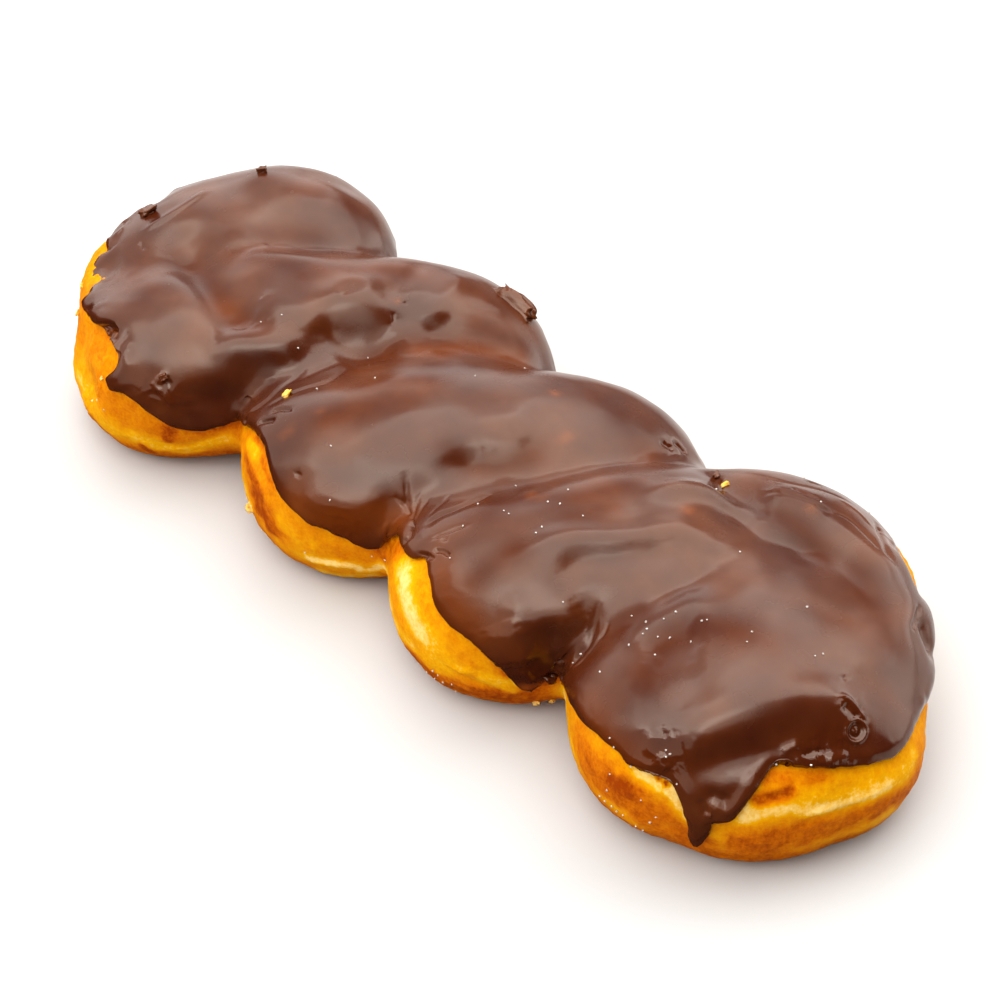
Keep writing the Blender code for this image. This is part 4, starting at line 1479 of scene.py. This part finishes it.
@dataclass
class ChocolateCoat:
    """The coat of icing: the solid with its outer side cut finer, and with the photograph's relief.

    A pair of gaps is where a change starts and where it is complete, measured from the coat's edge or from
    the middle of what changes. Faces are cut finer where a mark is stronger than the fine weight, and
    within so many reaches of a crumple or so many radii of the bubble.
    """

    sight: PhotoCamera
    skin: bpy.types.Material
    edge: CoatEdge
    cuts: int = 3
    fine_cuts: int = 2
    smooth_rounds: int = 130
    edge_softness: float = 0.15
    softened: tuple[float, float] = (2 * MM, 8 * MM)
    sunk: tuple[float, float] = (1 * MM, 4 * MM)
    fit_rounds: int = 4
    rim_rounds: int = 7
    rim_softness: float = 0.5
    near_softness: float = 0.9
    near_rim: tuple[float, float] = (1.5 * MM, 6 * MM)
    lip_rounds: int = 60
    far_lip: tuple[float, float] = (3 * MM, 8 * MM)
    sink: float = 0.8 * MM
    swell_size: float = 14 * MM
    swell_height: float = 0.4 * MM
    ripple_size: float = 6.5 * MM
    ripple_height: float = 0.15 * MM
    lip_inset: float = 2.0 * MM
    lip_width: float = 1.0 * MM
    lip_height: float = 0.28 * MM
    lip_length: float = 9 * MM
    lip_share: float = 0.7
    lip_change: float = 0.8
    lip_most: float = 1.4
    fray_size: float = 2.6 * MM
    fray_depth: float = 0.35 * MM
    fray_reach: float = 1.8 * MM
    fine_weight: float = 0.02
    fine_crumple: float = 0.8
    fine_bubble: float = 1.5
    edge_thinness: float = 0.35
    thin_reach: float = 0.7 * MM
    edge_gloss: float = 0.5
    gloss_reach: float = 3 * MM
    glossy_crumple: tuple[float, float] = (0.5, 1.1)

    def build(self) -> bpy.types.Object:
        """Makes the coat and dresses it.

        Returns:
            The coat.
        """
        coat = copy_of_node("chocolate_icing", "icing_coat")
        mesh = coat.data
        inner = self.edge.mark_inner_faces(mesh)
        subdivide_faces(coat, ~inner, self.cuts)
        self.edge.find(mesh)
        relax(mesh, self.smooth_rounds, self.softness(mesh))
        self.sink_hidden_side(mesh)
        drawn_back = tuple(replace(mark, amount=-mark.amount) for mark in UNCOVERED_MARKS)
        press_marks(mesh, drawn_back, self.sight, surface_tree(mesh), under=self.edge.hidden)
        self.edge.match(mesh)
        for _ in range(self.fit_rounds):
            self.edge.fit(mesh)
            share = self.near_softness * (1 - smooth_step(self.edge.gap, *self.near_rim))
            share[self.edge.hidden] = 0
            share[self.edge.rim] = self.rim_softness
            relax(mesh, self.rim_rounds, share)
        self.calm_far_lip(mesh)
        solid = surface_tree(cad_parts["chocolate_icing"].data)
        press_marks(mesh, BROAD_MARKS, self.sight, solid, under=self.edge.hidden)
        self.undulate(mesh)
        tree = surface_tree(mesh)
        subdivide_faces(coat, self.fine_faces(mesh, tree), self.fine_cuts)
        self.edge.find(mesh)
        self.roll_lip(mesh)
        press_marks(mesh, FINE_MARKS, self.sight, tree, held=self.edge.hidden)
        self.crinkle(mesh, tree)
        self.blow_bubble(mesh, tree)
        keep_in_box(mesh)
        self.store_finish(mesh, tree)
        mesh.shade_smooth()
        mesh.materials.append(self.skin)
        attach(coat, "root")
        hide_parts("chocolate_icing")
        return coat

    def sink_hidden_side(self, mesh: bpy.types.Mesh) -> None:
        """Moves the hidden side a little into the dough, so that it stays under the smoothed skin.

        Args:
            mesh: the coat.
        """
        rows, normals = vertex_rows(mesh), normal_rows(mesh)
        depth = self.sink * smooth_step(self.edge.gap, *self.sunk)
        depth[~self.edge.hidden] = 0
        place_vertices(mesh, rows + normals * depth[:, None])

    def softness(self, mesh: bpy.types.Mesh) -> np.ndarray:
        """Works out how much of the smoothing each vertex takes: none in the middle of the broken flake.

        Args:
            mesh: the coat.

        Returns:
            The share of each vertex, from 0 to 1.
        """
        share = self.edge_softness + (1 - self.edge_softness) * smooth_step(self.edge.gap, *self.softened)
        middle = self.sight.look_up(surface_tree(mesh), (FLAKE_PIXEL,))[0]
        gap = np.linalg.norm(vertex_rows(mesh) - middle, axis=1)
        share *= smooth_step(gap, 0.5 * FLAKE_REACH, FLAKE_REACH)
        share[self.edge.hidden] = 0
        return share

    def calm_far_lip(self, mesh: bpy.types.Mesh) -> None:
        """Smooths the skin along the far end's edge, where it was drawn back furthest.

        Args:
            mesh: the coat.
        """
        rows = vertex_rows(mesh)
        path = along(self.sight.look_up(surface_tree(mesh), FAR_LIP_PIXELS), 1 * MM)
        near, gap, _ = nearest_on(rows, path, self.far_lip[1])
        share = np.zeros(len(rows))
        share[near] = 1 - smooth_step(gap, *self.far_lip)
        share[self.edge.hidden] = 0
        relax(mesh, self.lip_rounds, share)

    def undulate(self, mesh: bpy.types.Mesh) -> None:
        """Gives the coat the soft unevenness of icing that was poured over proved dough.

        Args:
            mesh: the coat.
        """
        rows, normals = vertex_rows(mesh), normal_rows(mesh)
        rise = self.swell_height * field_noise(rows, self.swell_size)
        rise += self.ripple_height * field_noise(rows, self.ripple_size, 1, 3.0)
        rise[self.edge.hidden] = 0
        place_vertices(mesh, rows + normals * rise[:, None])

    def fine_faces(self, mesh: bpy.types.Mesh, tree: BVHTree) -> np.ndarray:
        """Tells which faces need to be finer: those under a fine mark, a crumple or the bubble.

        Args:
            mesh: the coat.
            tree: the coat's surface.

        Returns:
            Whether each face does.
        """
        centres = np.empty(3 * len(mesh.polygons), dtype=np.float32)
        mesh.polygons.foreach_get("center", centres)
        centres = centres.reshape(-1, 3).astype(float)
        fine = np.zeros(len(mesh.polygons), dtype=bool)
        for mark in FINE_MARKS:
            near, weight = mark.weigh(centres, self.sight, tree)
            fine[near[weight > self.fine_weight]] = True
        for crumple in CRUMPLES:
            fine |= crumple.gaps(centres, self.sight, tree) < self.fine_crumple
        fine |= BUBBLE.gaps(centres, self.sight, tree) < self.fine_bubble
        return fine & ~self.edge.inner_faces(mesh)

    def roll_lip(self, mesh: bpy.types.Mesh) -> None:
        """Thickens the coat inside its edge, where the icing gathered as it set, and frays the edge.

        Args:
            mesh: the coat.
        """
        rows, normals = vertex_rows(mesh), normal_rows(mesh)
        lip = np.exp(-(((self.edge.gap - self.lip_inset) / self.lip_width) ** 2))
        uneven = self.lip_share + self.lip_change * field_noise(rows, self.lip_length, 1, 2.0)
        rise = self.lip_height * lip * np.clip(uneven, 0, self.lip_most)
        rise[self.edge.hidden] = 0
        down = np.array([0, 0, -1]) + normals * normals[:, 2:]
        fray = self.fray_depth * field_noise(rows, self.fray_size, 2, 4.0)
        fray *= np.exp(-((self.edge.gap / self.fray_reach) ** 2))
        place_vertices(mesh, rows + normals * rise[:, None] + down * fray[:, None])

    def crinkle(self, mesh: bpy.types.Mesh, tree: BVHTree) -> None:
        """Crinkles the skin in its crumpled patches.

        Args:
            mesh: the coat.
            tree: the coat's surface before its fine marks.
        """
        rows, normals = vertex_rows(mesh), normal_rows(mesh)
        rise = np.zeros(len(rows))
        for crumple in CRUMPLES:
            gap = crumple.gaps(rows, self.sight, tree)
            near = np.nonzero(gap < 1)[0]
            # A fold's sharp crest runs where the noise passes through zero.
            folds = 0.5 - 2 * np.abs(field_noise(rows[near], crumple.grain * MM, 1, 1.5))
            rise[near] += crumple.height * MM * (1 - gap[near] ** 2) ** 2 * folds
        rise[self.edge.hidden] = 0
        place_vertices(mesh, rows + normals * rise[:, None])

    def blow_bubble(self, mesh: bpy.types.Mesh, tree: BVHTree) -> None:
        """Opens the burst bubble.

        Args:
            mesh: the coat.
            tree: the coat's surface before its fine marks.
        """
        rows, normals = vertex_rows(mesh), normal_rows(mesh)
        rise = BUBBLE.heights(BUBBLE.gaps(rows, self.sight, tree))
        rise[self.edge.hidden] = 0
        place_vertices(mesh, rows + normals * (MM * rise)[:, None])

    def store_finish(self, mesh: bpy.types.Mesh, tree: BVHTree) -> None:
        """Stores where the icing is thin, where it is glossier than elsewhere, and where its sheen is
        painted down.

        Args:
            mesh: the coat.
            tree: the coat's surface before its fine marks.
        """
        rows = vertex_rows(mesh)
        thin = self.edge_thinness * np.exp(-((self.edge.gap / self.thin_reach) ** 2))
        paint_marks(thin, THIN_MARKS, rows, self.sight, tree)
        store_values(mesh, "thin", thin)
        gloss = self.edge_gloss * np.exp(-((self.edge.gap / self.gloss_reach) ** 2))
        for crumple in CRUMPLES:
            gap = crumple.gaps(rows, self.sight, tree)
            gloss = np.maximum(gloss, 1 - smooth_step(gap, *self.glossy_crumple))
        paint_marks(gloss, WET_MARKS, rows, self.sight, tree)
        store_values(mesh, "gloss", gloss)
        # Painted reflection: the sheen is painted down along the gap marks.
        painted_sheen_gap = np.zeros(len(rows))
        paint_marks(painted_sheen_gap, PAINTED_SHEEN_GAP_MARKS, rows, self.sight, tree)
        store_values(mesh, "painted_sheen_gap", painted_sheen_gap)


# Where the camera sees single grains of sugar, on the icing and on the dough.
SUGAR_PIXELS = (
    (261, 322), (282, 315), (298, 348), (317, 389), (331, 446), (330, 500), (478, 504), (463, 526),
    (450, 558), (516, 486), (568, 490), (548, 502), (560, 504), (504, 511), (509, 514), (583, 516),
    (542, 527), (536, 533), (632, 616), (646, 622), (647, 629), (643, 634), (658, 637), (670, 638),
    (691, 642), (655, 655), (629, 645), (600, 672), (573, 663), (581, 654), (664, 619), (676, 612),
    (702, 621), (707, 620), (740, 552), (747, 642), (752, 632), (823, 654), (815, 656), (807, 607),
    (821, 502), (368, 358), (375, 378), (475, 376), (563, 602), (610, 738), (614, 747), (666, 750),
    (670, 754), (666, 757), (776, 764), (811, 765), (677, 784), (605, 801), (612, 806), (617, 811),
    (607, 790), (610, 774), (641, 800), (656, 817), (643, 830), (636, 826), (600, 796), (623, 815),
    (650, 822), (433, 671), (438, 675), (435, 678), (443, 682), (456, 691), (427, 672), (430, 680),
    (448, 688), (452, 684), (372, 556), (385, 560), (305, 552), (97, 400), (104, 410),
)


@dataclass
class SugarGrains:
    """Coarse sugar: single grains where the photograph has them, and others on the hidden sides."""

    sight: PhotoCamera
    carrier: BVHTree
    size: float = 0.33 * MM
    bevel: float = 0.05 * MM
    unevenness: float = 0.3
    sunk: float = 0.3
    hidden_count: int = 110
    seed: int = 11
    lowest: float = 0.5 * MM
    aim_height: float = 20 * MM
    aim_share: float = 0.9
    finish: CoarseSugar = field(default_factory=CoarseSugar)

    def build(self) -> bpy.types.Object:
        """Makes one grain and copies it to every place.

        Returns:
            The joined grains.
        """
        draw = random.Random(self.seed)
        deselect_all()
        bpy.ops.mesh.primitive_cube_add(size=self.size)
        grain = bpy.context.object
        bevel = grain.modifiers.new("worn_edges", "BEVEL")
        bevel.width, bevel.segments = self.bevel, 1
        bpy.ops.object.modifier_apply(modifier=bevel.name)
        copies = []
        for place, normal in self.seats(draw):
            copy = bpy.data.objects.new("sugar_grain", grain.data.copy())
            scale = [1 + self.unevenness * draw.uniform(-1, 1) for _ in range(3)]
            turn = Euler([draw.uniform(0, math.tau) for _ in range(3)]).to_matrix().to_4x4()
            lift = normal * self.size * (0.5 - self.sunk)
            copy.data.transform(Matrix.Translation(place + lift) @ turn @ Matrix.Diagonal((*scale, 1)))
            bpy.context.scene.collection.objects.link(copy)
            copies.append(copy)
        bpy.data.objects.remove(grain)
        sugar = join_pieces(copies, "sugar_grains")
        keep_in_box(sugar.data)
        sugar.data.materials.append(self.finish.build())
        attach(sugar, "root")
        return sugar

    def seats(self, draw: random.Random) -> list[tuple[Vector, Vector]]:
        """Finds where the grains lie.

        Args:
            draw: the random draw of the hidden sides' grains.

        Returns:
            The place and the normal of each grain.
        """
        found = []
        for pixel in SUGAR_PIXELS:
            place, normal, _, _ = self.carrier.ray_cast(self.sight.place, self.sight.ray(pixel))
            if place:
                found.append((place, normal))
        low, high = (Vector(corner) for corner in CAD_BOX)
        while len(found) < len(SUGAR_PIXELS) + self.hidden_count:
            spot = Vector([draw.uniform(a, b) for a, b in zip(low, high)])
            along_axis = draw.uniform(self.aim_share * low.x, self.aim_share * high.x)
            inwards = Vector((along_axis, 0, self.aim_height)) - spot
            place, normal, _, _ = self.carrier.ray_cast(spot - inwards, inwards.normalized())
            if place and place.z > self.lowest and normal.dot(self.sight.place - place) < 0:
                found.append((place, normal))
        return found


@dataclass(frozen=True)
class Crumb:
    """One crumb: its place, its length, width and thickness in millimetres, and its turn in degrees."""

    pixel: Pixel
    length: float
    width: float
    thickness: float
    turn: float


@dataclass
class Crumbs:
    """Loose bits of one stuff that lie on the twist."""

    name: str
    slot: str
    bits: tuple[Crumb, ...]
    sight: PhotoCamera
    carrier: BVHTree
    material: bpy.types.Material
    stored: str
    value: float
    fullness: float = 0.9
    cuts: int = 7
    lump_share: float = 0.45
    jaggedness: float = 0.5
    raised: float = 0.25

    def build(self) -> bpy.types.Object:
        """Makes the crumbs and sets each one on what carries it.

        Returns:
            The joined crumbs.
        """
        made = []
        for k, bit in enumerate(self.bits):
            deselect_all()
            bpy.ops.mesh.primitive_cube_add(size=self.fullness)
            bpy.ops.object.mode_set(mode="EDIT")
            bpy.ops.mesh.subdivide(number_cuts=self.cuts)
            bpy.ops.object.mode_set(mode="OBJECT")
            crumb = bpy.context.object
            rows = vertex_rows(crumb.data)
            rough = 1 + self.jaggedness * field_noise(rows, self.lump_share, 3, 5.0 * k + 1.7)
            sizes = np.array([bit.length, bit.width, bit.thickness]) * MM
            place_vertices(crumb.data, rows * rough[:, None] * sizes)
            place, normal = self.sight.seat(self.carrier, bit.pixel)
            across = self.sight.right - normal * normal.dot(self.sight.right)
            axes = Matrix((across.normalized(), normal.cross(across).normalized(), normal)).transposed()
            turned = axes.to_4x4() @ Matrix.Rotation(math.radians(bit.turn), 4, "Z")
            lift = normal * bit.thickness * MM * self.raised
            crumb.data.transform(Matrix.Translation(place + lift) @ turned)
            made.append(crumb)
        piece = join_pieces(made, self.name)
        keep_in_box(piece.data)
        store_values(piece.data, self.stored, np.full(len(piece.data.vertices), self.value))
        piece.data.shade_smooth()
        piece.data.materials.append(self.material)
        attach(piece, "root")
        return piece


CRUMB_TONE = 0.86
DOUGH_CRUMBS = (
    Crumb((287, 395), 1.9, 1.2, 0.9, 60),
    Crumb((725, 485), 1.7, 0.9, 0.7, 20),
    Crumb((249, 507), 2.2, 1.8, 1.4, 30),
    Crumb((536, 702), 1.4, 1.0, 0.8, 10),
    Crumb((553, 704), 1.3, 0.9, 0.8, 50),
    Crumb((79, 284), 1.2, 0.8, 0.7, 80),
    Crumb((77, 312), 1.3, 0.9, 0.7, 60),
    Crumb((102, 378), 0.9, 0.7, 0.5, 40),
)
CHIP_THINNESS = 0.12
ICING_CHIPS = (
    Crumb((148, 213), 3.6, 2.4, 1.6, 35),
    Crumb((516, 303), 9.5, 3.4, 1.5, -42),
    Crumb((262, 172), 2.2, 1.4, 1.6, 0),
    Crumb((163, 377), 1.7, 1.3, 1.0, 30),
    Crumb((716, 476), 1.6, 1.2, 1.0, 60),
)


@dataclass(frozen=True)
class Softbox:
    """A soft light: its size, its place round the twist, and its brightness beside a white card's 1."""

    name: str
    azimuth: float
    elevation: float
    distance: float
    width: float
    height: float
    brightness: float

    def build(self) -> bpy.types.Object:
        """Makes the light, which faces the twist.

        Returns:
            The light.
        """
        outwards = away(self.azimuth, self.elevation)
        data = bpy.data.lights.new(self.name, "AREA")
        data.shape = "RECTANGLE"
        data.size, data.size_y = self.width, self.height
        data.energy = self.brightness * math.pi * self.width * self.height
        light = bpy.data.objects.new(self.name, data)
        light.location = outwards * self.distance
        light.rotation_mode = "QUATERNION"
        light.rotation_quaternion = outwards.to_track_quat("Z", "Y")
        light.visible_camera = False
        bpy.context.scene.collection.objects.link(light)
        return light


@dataclass
class Studio:
    """A white table in a tent of soft lights.

    Only the table's rear half shows in the icing, as the pale line along the twist's contour.
    """

    sight: PhotoCamera
    table_size: float = 4.0
    table_white: str = "#bebdbb"
    table_roughness: float = 0.9
    table_shine: float = 0.1
    room: float = 0.025
    boxes: tuple[Softbox, ...] = (
        Softbox("tent_top", 272, 85, 1.3, 3.0, 1.4, 3.2),
        Softbox("tent_left", 272, 32, 1.4, 3.7, 1.7, 1.25),
        Softbox("tent_near_left", 356, 25, 1.4, 1.7, 1.15, 0.9),
        Softbox("tent_rear", 215, 20, 1.5, 4.0, 0.8, 0.6),
        Softbox("tent_right", 157, 24, 1.4, 1.4, 1.1, 2.2),
        Softbox("tent_front", 40, 51, 1.5, 1.1, 1.0, 1.8),
    )

    def build(self) -> None:
        """Makes the table, the lights, the world and the camera."""
        material, _, shader = new_material("white_table_top")
        shader.inputs["Base Color"].default_value = linear(self.table_white)
        shader.inputs["Roughness"].default_value = self.table_roughness
        shader.inputs["Specular IOR Level"].default_value = self.table_shine
        for name, side in (("white_table_near", -1), ("white_table_rear", 1)):
            deselect_all()
            bpy.ops.mesh.primitive_plane_add(size=self.table_size)
            table = bpy.context.object
            table.name = name
            table.data.transform(Matrix.Translation((0, side * self.table_size / 2, 0)))
            table.data.materials.append(material)
            table.visible_glossy = side > 0
        for box in self.boxes:
            box.build()
        world = bpy.data.worlds.new("room")
        world.use_nodes = True
        background = world.node_tree.nodes["Background"]
        background.inputs["Color"].default_value = (1, 1, 1, 1)
        background.inputs["Strength"].default_value = self.room
        bpy.context.scene.world = world
        bpy.context.scene.view_settings.view_transform = "Standard"
        bpy.context.scene.view_settings.look = "Medium High Contrast"
        self.sight.build()


def main() -> None:
    """Builds the pieces in order and reports each one."""
    logging.basicConfig(level=logging.INFO, format="%(message)s")
    sight = PhotoCamera()
    Studio(sight).build()
    crust, skin = FriedCrust().build(), ChocolateIcing().build()
    dough = FriedDough(sight, crust)
    pieces = [dough.build()]
    pieces.append(ChocolateCoat(sight, skin, CoatEdge(sight, dough.smooth_tree)).build())
    carrier = surface_tree(*(piece.data for piece in pieces))
    pieces.append(SugarGrains(sight, carrier).build())
    for name, slot, bits, material, stored, value in (
        ("dough_crumbs", "fried_dough", DOUGH_CRUMBS, crust, "tone", CRUMB_TONE),
        ("icing_chips", "chocolate_icing", ICING_CHIPS, skin, "thin", CHIP_THINNESS),
    ):
        pieces.append(Crumbs(name, slot, bits, sight, carrier, material, stored, value).build())
    for piece in pieces:
        LOG.info("%s: %d faces", piece.name, len(piece.data.polygons))


if __name__ == "__main__":
    main()
